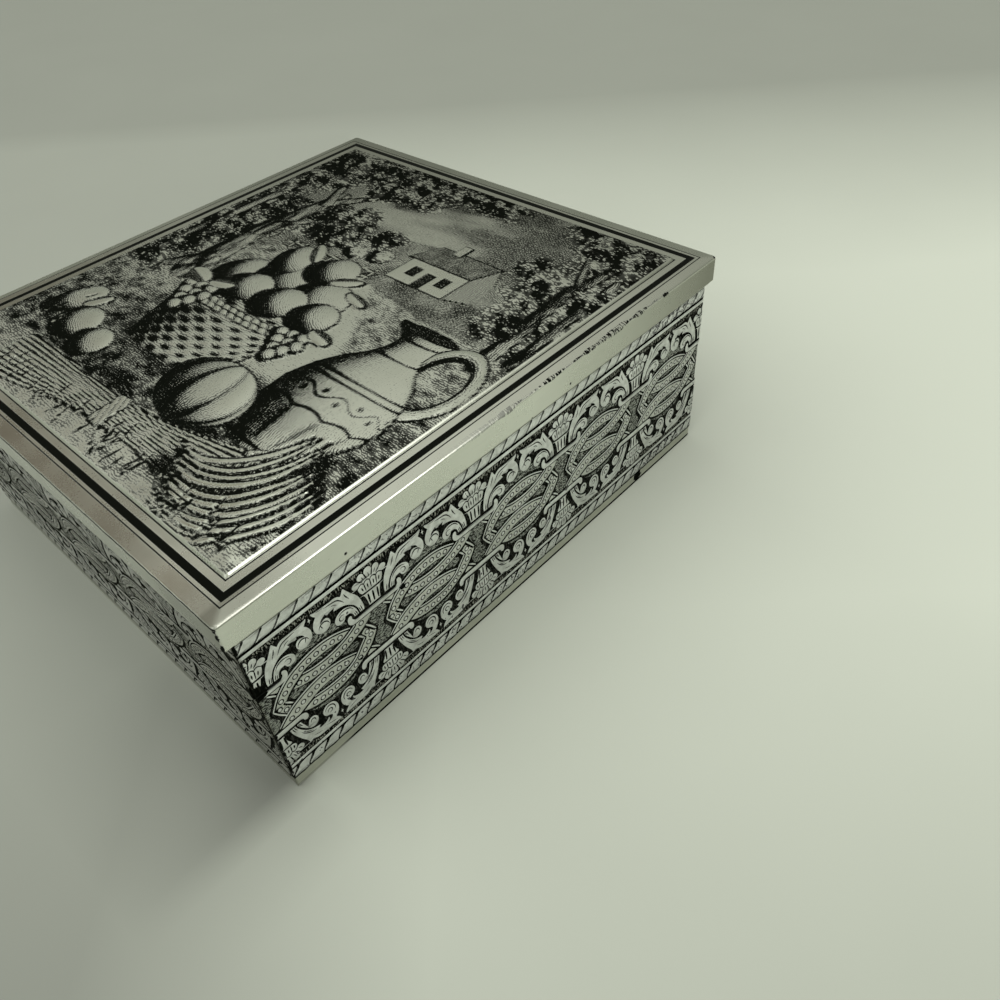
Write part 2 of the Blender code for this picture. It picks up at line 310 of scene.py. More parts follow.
def lamp(name, place, target, size, power, colour):
    """A square area lamp that faces its target."""
    bpy.ops.object.light_add(type="AREA", location=place)
    made = bpy.context.object
    made.name = name
    made.data.size = size
    made.data.energy = power
    made.data.color = colour
    made.rotation_euler = (Vector(target) - Vector(place)).to_track_quat("-Z", "Y").to_euler()


lamp("key_lamp", (1.00, 0.34, 1.15), (0.05, 0, 0.05), 0.7, 5.5, (1.0, 0.99, 0.96))
lamp("top_lamp", (-0.15, 0.05, 1.2), (0.02, 0, 0.08), 0.10, 0.32, (1.0, 0.99, 0.97))
lamp("fill_lamp", (0.1, -1.6, 1.5), (0, 0, 0), 1.6, 3.5, (0.97, 0.99, 1.0))
print("floor, world and three lamps are in place")

# %% [markdown]
# ## Finishes shared by all the plate
# Tinplate has a faint grain along the direction in which it was rolled, cloudy patches in its
# lacquer, and small dark specks where the lacquer is worn. Each of these effects is a node group,
# made once and placed in each material.


# %% Group: grain of rolled plate
def group(name, inputs, outputs):
    """A new group: its tree, its given sockets (Point and the inputs) and its output node."""
    tree = bpy.data.node_groups.new(name, "ShaderNodeTree")
    tree.interface.new_socket(name="Point", in_out="INPUT", socket_type="NodeSocketVector")
    for key, value in inputs.items():
        socket = tree.interface.new_socket(name=key, in_out="INPUT", socket_type="NodeSocketFloat")
        socket.default_value = value
    for key in outputs:
        tree.interface.new_socket(name=key, in_out="OUTPUT", socket_type="NodeSocketFloat")
    given = tree.nodes.new("NodeGroupInput").outputs
    return tree, given, tree.nodes.new("NodeGroupOutput")


def use(made, point, inputs=None):
    """Places a group on this point, and returns its outputs."""
    return add(point.id_data, "Group", {"Point": point, **(inputs or {})}, node_tree=made).outputs


grain, given, result = group("plate_grain", {}, ["Tone", "Gloss", "Height"])
lines = noise(squeezed(given["Point"], (2500.0, 160.0, 900.0)), 1.0, 2.0)
cloud = noise(given["Point"], 38.0, 4.0)
fine = noise(given["Point"], 1500.0, 2.0)
tone = plus(times(cloud, 0.7), times(lines, 0.3))
gloss = plus(times(cloud, 0.8), times(fine, 0.2))
wire(result, {"Tone": tone, "Gloss": gloss, "Height": plus(lines, fine)})
print("group plate_grain:", len(grain.nodes), "nodes")

# %% Group: worn specks
wear, given, result = group("plate_wear", {"Specks": 0.5}, ["Mask"])
spots = noise(given["Point"], 420.0, 3.0)
where = noise(given["Point"], 24.0, 2.0)
amount = plus(times(spots, 0.62), times(where, 0.38))
limit = minus(0.86, times(given["Specks"], 0.4))
wire(result, {"Mask": times(minus(amount, limit), 60.0, clamp=True)})
print("group plate_wear:", len(wear.nodes), "nodes")

# %% Group: distance to a rounded rectangle seen from above
plan, given, result = group(
    "plan_distance", {"Half X": 0.1, "Half Y": 0.1, "Middle Y": 0.0, "Radius": 0.001}, ["Distance"]
)
across = axis(given["Point"], 0)
deep = minus(axis(given["Point"], 1), given["Middle Y"])
reach = [
    minus(size_of(value), minus(given[half], given["Radius"]))
    for value, half in ((across, "Half X"), (deep, "Half Y"))
]
outside = [most(value, 0.0) for value in reach]
length = root(plus(*[times(value, value) for value in outside]))
distance = minus(plus(length, least(most(*reach), 0.0)), given["Radius"])
wire(result, {"Distance": distance})
print("group plan_distance:", len(plan.nodes), "nodes")

# %% [markdown]
# ## Silver and black
# The silver parts of the print are bare, lacquered tin: a metal of a slightly green grey. The black
# is an ink, which is no metal and hardly shines.

# %% Colours
SILVER = (0.66, 0.68, 0.60, 1)
SILVER_DULL = (0.60, 0.62, 0.54, 1)
INK = (0.003, 0.0035, 0.0025, 1)
BARE = (0.62, 0.62, 0.58, 1)
BARE_DULL = (0.47, 0.46, 0.41, 1)
# Painted shade: the dark grey that plate is darkened to where shade and dark reflections are painted.
PAINTED_SHADE_GREY = (0.16, 0.16, 0.125, 1)
print("colours of silver, ink, bare plate and tarnish")


# %% The look of plate
def plate_look(shader, point, ink=None, bright=SILVER, dull=SILVER_DULL,
               rough=(0.20, 0.34), bump=0.0018, painted_shade_mask=None, shine=0.0):
    """Wires a plate finish: grain over two tones of metal, a grey of painted shade where the shade
    mask is 1, and ink where ink is 1. Returns its colour."""
    texture = use(grain, point)
    colour = blend_colour(ramp(texture["Tone"], 0.34, 0.66), dull, bright)
    if painted_shade_mask is not None:
        # Painted shade: the colour darkens towards the painted-shade grey where the shade mask is 1.
        colour = blend_colour(painted_shade_mask, colour, PAINTED_SHADE_GREY)
    polish = ramp(texture["Gloss"], 0.35, 0.65, *rough)
    metal = 1.0
    if ink is not None:
        colour = blend_colour(ink, colour, INK)
        polish = plus(polish, times(ink, 0.12))
        metal = minus(1.0, ink)
    bumps = {"Height": texture["Height"], "Strength": 0.2, "Distance": bump * MM}
    relief = add(point.id_data, "Bump", bumps).outputs[0]
    wire(shader, {"Base Color": colour, "Metallic": metal, "Roughness": polish, "Normal": relief,
                  "Specular IOR Level": shine})
    return colour


print("look of plate ready")

# %% [markdown]
# ### Wear and painted shade
# The lacquer is lost in places. Noise, held to the places where hands and shelves rub, gives the
# spots their ragged edges. The walls also get painted shade.


# %% Painted shade, seams and specks
def wall_painted_shade(point):
    """Painted shade: the front wall, which stands in shade, is darkest; the side walls darken a
    little towards the back and the foot, where their reflections are darker.
    """
    x, y, z = [axis(point, number) for number in range(3)]
    front = times(fading(y, -107.0 * MM, -106.2 * MM), ramp(x, 45 * MM, 92 * MM, 0.60, 0.74))
    back = ramp(y, 20 * MM, 108 * MM, 0.0, 0.16)
    foot = ramp(z, 5 * MM, 60 * MM, 0.09, 0.0)
    return most(front, plus(back, foot))


def upright_seam(point, corner, reach, ragged):
    """A ragged black line where the lacquer is worn off an upright edge at this corner."""
    tree = point.id_data
    flat = add(tree, "VectorMath", {0: point, 1: (1, 1, 0)}, operation="MULTIPLY").outputs[0]
    gap = roughened(gap_to(flat, (*corner, 0)), noise(point, 520.0, 3.0), ragged)
    return fading(gap, (reach - 0.1) * MM, (reach + 0.1) * MM)


BLOTS = [((100.6, -106.9, 50), 3.4), ((100.6, -54.2, 46.6), 1.1), ((100.6, -74.0, 31.8), 0.8),
         ((100.6, 67.9, 3.0), 2.5)]


def blots(point):
    """A few black blots of lost lacquer: down the near corner, on a strap and on the foot."""
    rough = noise(point, 700.0, 3.0)
    mask = upright_seam(point, NEAR_CORNER, 0.42, 2.2)
    for place, radius in BLOTS:
        gap = roughened(gap_to(point, place), rough, 3.0)
        mask = most(mask, fading(gap, (radius - 0.15) * MM, (radius + 0.15) * MM))
    return mask


def rope_specks(point):
    """Worn specks on stretches of both ropes, most of them on the right wall's far end."""
    y, z = axis(point, 1), axis(point, 2)
    far = between(y, 62 * MM, 104 * MM, 12 * MM)
    lower = times(fading(z, 9.8 * MM, 10.2 * MM), most(between(y, -70 * MM, 20 * MM, 25 * MM), far))
    upper = times(ramp(z, 67.5 * MM, 68 * MM), most(between(y, -75 * MM, -20 * MM, 20 * MM), far))
    middle = between(y, -12 * MM, 18 * MM, 10 * MM)
    small = plus(noise(point, 1150.0, 1.0), times(most(middle, far), 0.045))
    broad = times(ramp(noise(point, 640.0, 2.0), 0.58, 0.62), far)
    specks = most(ramp(small, 0.62, 0.66), broad)
    return times(most(lower, times(upper, 0.9)), specks)


print("wear of the walls ready")


# %% Silver relief, ink and stipple finishes
def relief_look(name, bright, dull):
    """A finish for raised, worn silver, mottled in spots of some millimetres."""
    made, shader, point = new_finish(name)
    spots = use(wear, point, {"Specks": 0.55})[0]
    spots = most(times(most(spots, rope_specks(point)), 0.9), blots(point))
    # The walls' painted shade darkens the raised silver too.
    plain = plate_look(shader, point, spots, bright, dull, (0.42, 0.56), 0.008, wall_painted_shade(point))
    mottle = noise(point, 420.0, 4.0, Roughness=0.65)
    mottle = blend_colour(ramp(mottle, 0.35, 0.65), (0.74, 0.74, 0.73, 1), (1, 1, 1, 1))
    wire(shader, {"Base Color": blend_colour(1.0, plain, mottle, "MULTIPLY")})
    return made


silver_finish = relief_look("raised_silver", (0.87, 0.89, 0.875, 1), (0.72, 0.74, 0.725, 1))
strap_finish = relief_look("strap_silver", (0.74, 0.76, 0.72, 1), (0.61, 0.63, 0.59, 1))

ink_finish, shader, point = new_finish("black_ink")
worn = use(wear, point, {"Specks": 0.55})[0]
mottle = noise(point, 900.0, 2.0)
tone = blend_colour(ramp(mottle, 0.35, 0.7), INK, (0.009, 0.010, 0.008, 1))
tone = blend_colour(times(worn, 0.12), tone, SILVER_DULL)
polish = ramp(mottle, 0.3, 0.7, 0.45, 0.6)
wire(shader, {"Base Color": tone, "Roughness": polish, "Specular IOR Level": 0.0})

stipple_finish, shader, point = new_finish("stippled_ground")
leaning = squeezed(point, (1000.0, 1000.0, 3000.0), (radians(62), radians(28), 0))
ink = times(fading(noise(leaning, 1.0, 2.0), 0.47, 0.57), 0.97)
# The walls' painted shade darkens the stipple too.
plate_look(shader, point, ink, (0.46, 0.48, 0.44, 1), (0.30, 0.32, 0.29, 1), (0.35, 0.5),
           painted_shade_mask=wall_painted_shade(point))
print("four finishes for the ornament")

# %% [markdown]
# ## The frieze, drawn flat
# A roller embossed and printed the frieze on flat plate before the walls were bent. It is made in
# the same order here. One repeat is drawn flat, in millimetres, with x along the wall, y up and z
# out of the plate. A modifier repeats it, and the strip is bent round the walls at the end.
#
# Outlines are given as a few points that a smooth line runs through. A point given twice is a sharp
# corner.


# %% Smooth lines through points
def smooth_line(points, steps):
    """An open line through the points (a Catmull-Rom spline), with steps pieces between two points."""
    points = [Vector(p) for p in points]
    ends = [2 * points[0] - points[1], *points, 2 * points[-1] - points[-2]]
    line = []
    for a, b, c, d in zip(ends, ends[1:], ends[2:], ends[3:]):
        square, cube = 2 * a - 5 * b + 4 * c - d, 3 * b - a - 3 * c + d
        for t in [i / steps for i in range(steps)]:
            line.append(0.5 * (2 * b + (c - a) * t + square * t**2 + cube * t**3))
    return [tuple(p) for p in [*line, points[-1]]]


def stretches(points):
    """The points, split at each point that comes twice."""
    parts = [[points[0]]]
    for point in points[1:]:
        if point == parts[-1][-1]:
            parts.append([])
        parts[-1].append(point)
    return parts


def open_outline(points, steps=2):
    """A line through the points, with a corner where a point comes twice."""
    *parts, last = stretches(points)
    line = [place for part in parts if len(part) > 1 for place in smooth_line(part, steps)[:-1]]
    return line + (smooth_line(last, steps) if len(last) > 1 else last)


def outline(points, steps=2):
    """A closed outline through the points, with a corner where a point comes twice."""
    count = len(points)
    corners = [i for i in range(count) if points[i] == points[(i + 1) % count]]
    if not corners:
        ring = [points[-2], points[-1], *points, points[0], points[1]]
        return smooth_line(ring, steps)[2 * steps : -2 * steps - 1]
    start = corners[0] + 1
    turned = points[start:] + points[:start]
    parts = [part for part in stretches([*turned, turned[0]]) if len(part) > 1]
    return [place for part in parts for place in smooth_line(part, steps)[:-1]]


def beside(line, distance):
    """The line moved sideways, to its right, by the distance."""
    moved = []
    for i, point in enumerate(line):
        before, after = Vector(line[max(i - 1, 0)]), Vector(line[min(i + 1, len(line) - 1)])
        along = (after - before).normalized()
        moved.append((point[0] + along.y * distance, point[1] - along.x * distance))
    return moved


def both_ways(half):
    """A whole outline from its right half, which starts and ends on the middle line."""
    return half + [(-x, y) for x, y in reversed(half) if x > 0]


print("drawing helpers ready")


# %% Raised plates and strokes
def to_mesh(name, curve, splines):
    """A mesh from a curve with these splines, each a list of (point, radius)."""
    for line in splines:
        spline = curve.splines.new("POLY")
        spline.points.add(len(line) - 1)
        spline.use_cyclic_u = curve.dimensions == "2D"
        for point, (place, radius) in zip(spline.points, line):
            point.co = (*place, 0, 1)
            point.radius = radius
    piece = bpy.data.objects.new(name, curve)
    bpy.context.collection.objects.link(piece)
    pick(piece)
    bpy.ops.object.convert(target="MESH")
    return bpy.context.object


def modify(piece, kind, **settings):
    """Adds a modifier with these settings and applies it."""
    pick(piece)
    made = piece.modifiers.new(kind.lower(), kind)
    for key, value in settings.items():
        setattr(made, key, value)
    bpy.ops.object.modifier_apply(modifier=made.name)


def select_faces(piece, wanted):
    """Edit mode, with only the wanted faces selected."""
    with editing(piece):
        bpy.ops.mesh.select_mode(type="FACE")
        bpy.ops.mesh.select_all(action="DESELECT")
    for face in piece.data.polygons:
        face.select = wanted(face)
    bpy.ops.object.mode_set(mode="EDIT")


def raised(name, loops, thickness, steps=((0.10, 0.09), (0.14, 0.04)), finish=silver_finish):
    """Plates with these outlines: filled flat curves, thickened, with inked sides and an upper edge
    that steps in by (width, rise)."""
    curve = bpy.data.curves.new(name, "CURVE")
    curve.dimensions = "2D"
    curve.fill_mode = "BOTH"
    piece = to_mesh(name, curve, [[(place, 1.0) for place in loop] for loop in loops])
    with editing(piece):
        bpy.ops.mesh.remove_doubles(threshold=0.001)
        bpy.ops.mesh.normals_make_consistent(inside=False)
    if sum(face.normal.z * face.area for face in piece.data.polygons) < 0:
        piece.data.flip_normals()
    modify(piece, "SOLIDIFY", thickness=thickness, offset=1)
    piece.data.materials.append(finish)
    piece.data.materials.append(ink_finish)
    for width, rise in steps:
        top = max(v.co.z for v in piece.data.vertices)
        select_faces(piece, lambda face: face.normal.z > 0.9 and face.center.z > top - 0.001)
        bpy.ops.mesh.inset(thickness=width, depth=rise, use_even_offset=True)
        bpy.ops.object.mode_set(mode="OBJECT")
    for face in piece.data.polygons:
        face.material_index = int(abs(face.normal.z) < 0.8)
    return piece


def stroked(name, lines, height, flat=0.25, round_steps=0, finish=ink_finish):
    """Drawn strokes: lines of (points, width, width at the ends), as flattened tubes at a height."""
    curve = bpy.data.curves.new(name, "CURVE")
    curve.dimensions = "3D"
    curve.bevel_depth = 0.5
    curve.bevel_resolution = round_steps
    curve.use_fill_caps = True
    splines = []
    for points, width, tip in lines:
        last = len(points) - 1
        tapers = [min(1.0, 3.0 * min(i, last - i) / last) for i in range(last + 1)]
        splines.append([(place, tip + (width - tip) * taper) for place, taper in zip(points, tapers)])
    piece = to_mesh(name, curve, splines)
    with editing(piece):
        bpy.ops.transform.resize(value=(1, 1, flat))
        bpy.ops.transform.translate(value=(0, 0, height))
    piece.data.materials.append(finish)
    return piece


def smoothed(strokes, steps):
    return [(smooth_line(points, steps), width, tip) for points, width, tip in strokes]


print("plates and strokes ready")

# %% [markdown]
# ### Scrolled leaves
# Each palmette has a big and a small scrolled leaf on both sides, above and below. They are drawn
# for the right-hand side, with x measured from the palmette's middle line. The small dark lines in
# the leaves are ink.

# %% Leaves
PITCH = 42.5                # palmette to palmette on the side walls
LOWER_SHIFT = 0.5           # the lower register is printed this far to the right

LEAF_TOP = [
    (3.9, 50), (3.9, 50), (3.8, 51.5), (4, 53), (4.4, 55), (5.1, 57), (6.2, 58.8), (7.1, 60.2), (8, 61.8),
    (8.7, 63.1), (9.15, 63.4), (9.6, 62.8), (10, 62), (10.4, 61.4), (10.4, 61.4), (11.3, 62.15),
    (12.4, 62.55), (14, 62.5), (16, 62.6), (18, 62.75), (19.4, 62.95), (20.4, 63.4), (20.4, 63.4),
    (20.55, 62.8), (20.2, 62), (19.4, 60.9), (19.4, 60.9), (20, 60.1), (20.6, 59), (20.95, 57.8),
    (21, 56.5), (20.8, 55.3), (20.2, 54.3), (19.2, 53.4), (18, 53), (16.9, 53.2), (16, 53.8), (15.4, 54.7),
    (15.2, 55.8), (15.4, 56.9), (16, 57.7), (16.9, 58), (17.7, 57.7), (18.35, 57.4), (18.35, 57.4),
    (18, 58.1), (17.2, 58.8), (16.4, 59.2), (16.4, 59.2), (16.1, 58.6), (15.6, 58.4), (14.8, 58.7),
    (13.9, 58.9), (13.3, 58.9), (13.3, 58.9), (13.6, 58.3), (13.7, 57.8), (13.7, 57.8), (12.6, 57.6),
    (11, 57.3), (9.6, 56.7), (8.4, 55.8), (7.4, 54.8), (6.6, 53.6), (6, 52), (5.7, 50), (5.7, 50),
]
LEAF_TOP_SMALL = [
    (6, 50), (6, 50), (6.25, 51.6), (6.85, 53.3), (7.7, 54.6), (8.8, 55.5), (9.9, 56), (11.1, 56.1),
    (12.3, 55.85), (13.3, 55.2), (14, 54.3), (14.3, 53.3), (14.2, 52.3), (13.7, 51.5), (12.9, 51),
    (12, 50.95), (11.2, 51.3), (10.7, 52), (10.5, 52.65), (10.5, 52.65), (9.9, 52.75), (9.2, 52.6),
    (8.6, 52.1), (8.1, 51.3), (7.8, 50), (7.8, 50),
]
LEAF_LOW = [
    (3.85, 26.85), (3.85, 26.85), (4.05, 25.8), (4.35, 24.5), (4.85, 23), (5.45, 21.5), (6.05, 20.1),
    (6.65, 18.8), (7.35, 17.6), (7.85, 16.5), (8.1, 15.6), (8.35, 14.6), (8.35, 14.6), (8.8, 15.15),
    (9.5, 15.35), (10.2, 15), (10.9, 14.5), (11.95, 14.2), (13.95, 14.05), (15.95, 14), (17.95, 13.95),
    (19.4, 13.9), (20.5, 13.8), (20.5, 13.8), (20.25, 14.6), (19.75, 15.5), (18.9, 16.4), (18.9, 16.4),
    (19.6, 17.2), (20.15, 18.1), (20.6, 19.2), (20.75, 20.5), (20.65, 21.8), (20.15, 23.1), (19.25, 24.2),
    (17.95, 24.7), (16.75, 24.55), (15.75, 23.9), (15.15, 22.8), (15, 21.7), (15.35, 20.6), (16.05, 19.8),
    (16.85, 19.4), (17.5, 19), (17.75, 18.5), (17.45, 17.8), (16.85, 17.3), (16.1, 17), (16.1, 17),
    (16.6, 17.9), (16.7, 18.7), (16.35, 19.1), (16.35, 19.1), (15.95, 18.5), (15.35, 18), (14.35, 17.7),
    (13.35, 17.65), (12.6, 17.8), (12.6, 17.8), (13, 18.4), (13.3, 19), (13.3, 19), (12.5, 19.2),
    (11.6, 19.5), (10.7, 19.95), (9.75, 20.6), (8.65, 21.6), (7.65, 23), (6.75, 24.6), (6.25, 25.9),
    (6.15, 26.85), (6.15, 26.85),
]
LEAF_LOW_SMALL = [
    (6.45, 26.85), (6.45, 26.85), (6.6, 26), (7.1, 24.8), (8, 23.3), (9, 21.9), (9.95, 20.9),
    (10.85, 20.35), (11.75, 20.3), (12.55, 20.7), (13.25, 21.6), (13.55, 22.8), (13.35, 23.8),
    (12.65, 24.7), (11.75, 25.1), (10.85, 24.9), (10.15, 24.2), (9.85, 23.3), (9.55, 22.4), (9.55, 22.4),
    (9.2, 23.2), (8.9, 24.2), (8.45, 25.3), (8, 26.85), (8, 26.85),
]
LEAF_INK_TOP = [
    ([(16.3, 61.75), (15, 61.6), (13, 61.35), (11.7, 60.9), (10.6, 59.7), (9.7, 58.2)], 0.46, 0.12),
    ([(14, 60.4), (12.9, 60.1), (12, 59.3)], 0.3, 0.08),
    ([(15.7, 55.2), (16.1, 56.2), (16.9, 56.9), (17.9, 57), (18.9, 56.4), (19.5, 55.4)], 0.5, 0.14),
    ([(18.6, 56.6), (18.5, 55.8), (18.1, 55)], 0.32, 0.1),
    ([(9.2, 61.3), (8.75, 59.9), (7.9, 58.2)], 0.42, 0.1),
    ([(4.75, 50.1), (4.85, 51.2), (5.1, 52.6)], 0.34, 0.1),
    ([(5.3, 50.1), (5.45, 51.2), (5.75, 52.3)], 0.3, 0.08),
    ([(6.6, 50.1), (6.8, 51), (7.1, 52)], 0.34, 0.1),
    ([(7.2, 50.1), (7.35, 50.9), (7.6, 51.7)], 0.28, 0.08),
    ([(7.5, 53.3), (8.4, 54.6), (9.8, 55.3), (11.4, 55.3), (12.6, 54.7)], 0.46, 0.12),
    ([(10.7, 53.9), (11.6, 54.2), (12.5, 53.7), (12.6, 52.8), (11.9, 52.2), (11.2, 52.5)], 0.36, 0.1),
    ([(16, 62.2), (17.6, 62.3), (19, 62.5)], 0.22, 0.06),
]
LEAF_INK_LOW = [
    ([(19.4, 20.4), (19.5, 21.8), (18.9, 23.1), (17.7, 23.7), (16.6, 23.3), (15.9, 22.3)], 0.48, 0.14),
    ([(16.7, 21), (17, 22), (17.9, 22.2), (18.4, 21.4), (17.9, 20.6), (17.2, 20.6)], 0.42, 0.12),
    ([(10.75, 23), (11.1, 23.9), (11.9, 24), (12.4, 23.3), (12.4, 22.5)], 0.46, 0.12),
    ([(6.9, 22.3), (7.7, 21), (9, 19.6), (10.3, 18.8), (11.6, 18.4)], 0.42, 0.1),
    ([(8, 21.4), (9.2, 20.2), (10.5, 19.4)], 0.34, 0.08),
    ([(4.75, 26.8), (5, 25.6), (5.5, 24.2)], 0.32, 0.1),
    ([(5.4, 26.8), (5.65, 25.7), (6.1, 24.6)], 0.3, 0.08),
    ([(7.2, 26.8), (7.5, 25.7), (8.1, 24.5)], 0.36, 0.1),
    ([(6.85, 26.7), (7, 25.9), (7.35, 25)], 0.26, 0.08),
    ([(15, 16.3), (17, 15.7), (18.8, 15.2)], 0.24, 0.08),
    ([(10.2, 16.7), (11.7, 16), (13.2, 15.7)], 0.24, 0.08),
]

leaf_loops = [outline(shape) for shape in (LEAF_TOP, LEAF_TOP_SMALL, LEAF_LOW, LEAF_LOW_SMALL)]
leaves = raised("leaves", leaf_loops, 0.18, ((0.12, 0.10), (0.18, 0.05)))
leaf_ink = stroked("leaf_ink", smoothed(LEAF_INK_TOP + LEAF_INK_LOW, 3), 0.33)
print("leaves:", triangles(leaves), "triangles in one quarter of a repeat")

# %% [markdown]
# ### Palmettes, baskets and bars
# A palmette of overlapping petals stands on a fluted basket, and a bar with rolled ends closes the
# strapwork below it. The lower register is the same, turned over.

# %% Palmettes and bars
BAR_TOP = [
    (0, 49.1), (3.8, 49.05), (7.2, 48.95), (8.15, 49.25), (8.6, 50), (8.55, 50.8), (8.75, 51.45),
    (9.35, 51.7), (9.95, 51.4), (10.4, 50.7), (10.55, 49.7), (10.4, 48.7), (9.95, 47.9), (9.2, 47.3),
    (8.3, 47.05), (4, 47), (0, 47),
]
BAR_LOW = [
    (0, 29.7), (4, 29.75), (8.3, 29.75), (9.4, 29.6), (10.3, 29.15), (10.85, 28.35), (11, 27.35),
    (10.8, 26.4), (10.2, 25.9), (9.5, 26), (9.05, 26.5), (8.9, 27.1), (8.35, 27.5), (7.3, 27.55), (4, 27.5),
    (0, 27.45),
]
BASKET_TOP = [
    (0, 55.15), (2.7, 55.2), (3.45, 55.5), (3.45, 55.5), (3.15, 54.6), (2.7, 53.2), (2.4, 51.6),
    (2.25, 49.7), (2.25, 49.7), (0, 49.65),
]
BASKET_LOW = [
    (0, 26.8), (1.9, 26.85), (1.9, 26.85), (2.05, 25.4), (2.35, 24), (2.85, 22.9), (3.3, 22.2), (3.3, 21.7),
    (2.8, 21.3), (0, 21.2),
]
FAN_TOP = [
    (0, 64.65), (0.9, 64.4), (1.4, 63.6), (1.5, 62.7), (1.5, 62.7), (1.8, 63.4), (2.6, 63.9), (3.5, 63.7),
    (4.1, 62.9), (4.1, 62.1), (3.9, 61.5), (3.9, 61.5), (4.5, 61.9), (5.3, 61.9), (6, 61.5), (6.4, 60.7),
    (6.1, 59.8), (5.4, 59.3), (4.6, 59.3), (4.6, 59.3), (4.65, 58.4), (4.4, 57.3), (4, 56.4), (3.5, 55.8),
    (3.5, 55.8), (1.8, 55.65), (0, 55.6),
]
FAN_LOW = [
    (0, 20.9), (1.8, 20.9), (3.3, 20.8), (4.1, 20.3), (4.4, 19.3), (4.3, 18.5), (4, 18), (4, 18),
    (4.8, 18.4), (5.7, 18.2), (6.4, 17.5), (6.5, 16.5), (6, 15.7), (5.2, 15.3), (4.3, 15.3), (4.3, 15.3),
    (4.3, 14.3), (3.8, 13.5), (3, 13.1), (2.1, 13.3), (1.6, 13.9), (1.6, 13.9), (1.2, 13.1), (0.6, 12.75),
    (0, 12.65),
]
PETAL_INK = [
    ([(1.55, 63), (1.25, 61.9), (0.85, 60.5)], 0.52, 0.2),
    ([(4.05, 61.8), (3.3, 61), (2.4, 60.3)], 0.52, 0.2),
    ([(0, 62.4), (0, 61.5), (0, 60.6)], 0.34, 0.1),
    ([(2.5, 62.3), (2.2, 61.5), (1.9, 60.9)], 0.36, 0.1),
    ([(0, 59.3), (0.5, 59.95), (1.2, 60.15), (1.9, 59.8), (2.25, 59.3), (2.7, 59.8), (3.4, 59.9),
      (4, 59.5), (4.6, 59)], 0.44, 0.3),
    ([(0, 59.5), (0, 58), (0, 56.2)], 0.44, 0.16),
    ([(2.25, 59.4), (2.15, 58), (1.95, 56.1)], 0.42, 0.16),
    ([(1.1, 58.7), (1.1, 57.8), (1.05, 56.8)], 0.5, 0.12),
    ([(3.3, 58.4), (3.1, 57.6), (2.9, 56.8)], 0.5, 0.12),
    ([(0, 55.5), (1.8, 55.5), (3.6, 55.7)], 0.4, 0.3),
    ([(0, 17.5), (0.6, 17), (1.3, 17.1), (2.1, 17.8), (2.7, 17.4), (3.4, 17.5), (4.2, 18.2)], 0.46, 0.3),
    ([(0, 20.6), (0, 19.2), (0, 17.6)], 0.42, 0.2),
    ([(2.25, 20.7), (2.2, 19.4), (2.1, 17.9)], 0.42, 0.2),
    ([(1.15, 20), (1.2, 19.2), (1.15, 18.3)], 0.5, 0.12),
    ([(3.3, 20.1), (3.3, 19.3), (3.15, 18.5)], 0.54, 0.12),
    ([(1.65, 13.6), (1.35, 15), (1, 16.4)], 0.5, 0.2),
    ([(4.4, 15.2), (3.6, 16.1), (2.7, 16.8)], 0.5, 0.2),
    ([(0, 14.3), (0, 15.2), (0, 16.3)], 0.4, 0.12),
    ([(2.9, 14.5), (2.6, 15.3), (2.1, 16.2)], 0.4, 0.12),
    ([(5.5, 16.4), (4.9, 16.9), (4.2, 17.3)], 0.4, 0.12),
    ([(0, 21.15), (1.8, 21.15), (3.4, 21.2)], 0.34, 0.26),
]
flutes = [([(dx, 54.6), (0.96 * dx, 52.7), (0.9 * dx, 50.4)], 0.72, 0.4) for dx in (-1.75, 0, 1.75)]
flutes += [([(0.85 * dx, 26.5), (0.9 * dx, 24.4), (dx, 22.2)], 0.72, 0.4) for dx in (-1.85, 0, 1.85)]


def turned_over(strokes):
    """The strokes, and those that aren't on the middle line once more on the other side."""
    return strokes + [
        ([(-x, y) for x, y in reversed(points)], width, tip)
        for points, width, tip in strokes if points[-1][0] > 0
    ]


bar_loops = [outline(both_ways(shape)) for shape in (BAR_TOP, BAR_LOW)]
bars = raised("bars", bar_loops, 0.22, ((0.16, 0.14), (0.22, 0.06)))
petal_loops = [outline(both_ways(shape)) for shape in (BASKET_TOP, BASKET_LOW, FAN_TOP, FAN_LOW)]
palmettes = raised("palmettes", petal_loops, 0.20, ((0.12, 0.12), (0.18, 0.06)))
palmette_ink = stroked("palmette_ink", smoothed(turned_over(PETAL_INK) + flutes, 2), 0.38)
print("palmettes:", triangles(palmettes), "triangles each")

# %% [markdown]
# ### Beaded strapwork
# Between two bars the straps cross in a knot. Each strap has a raised rim and a dark line along its
# upper edge, and a row of ringed beads. The parts that show are drawn one by one, so the strap that
# passes below simply stops at a narrow gap.

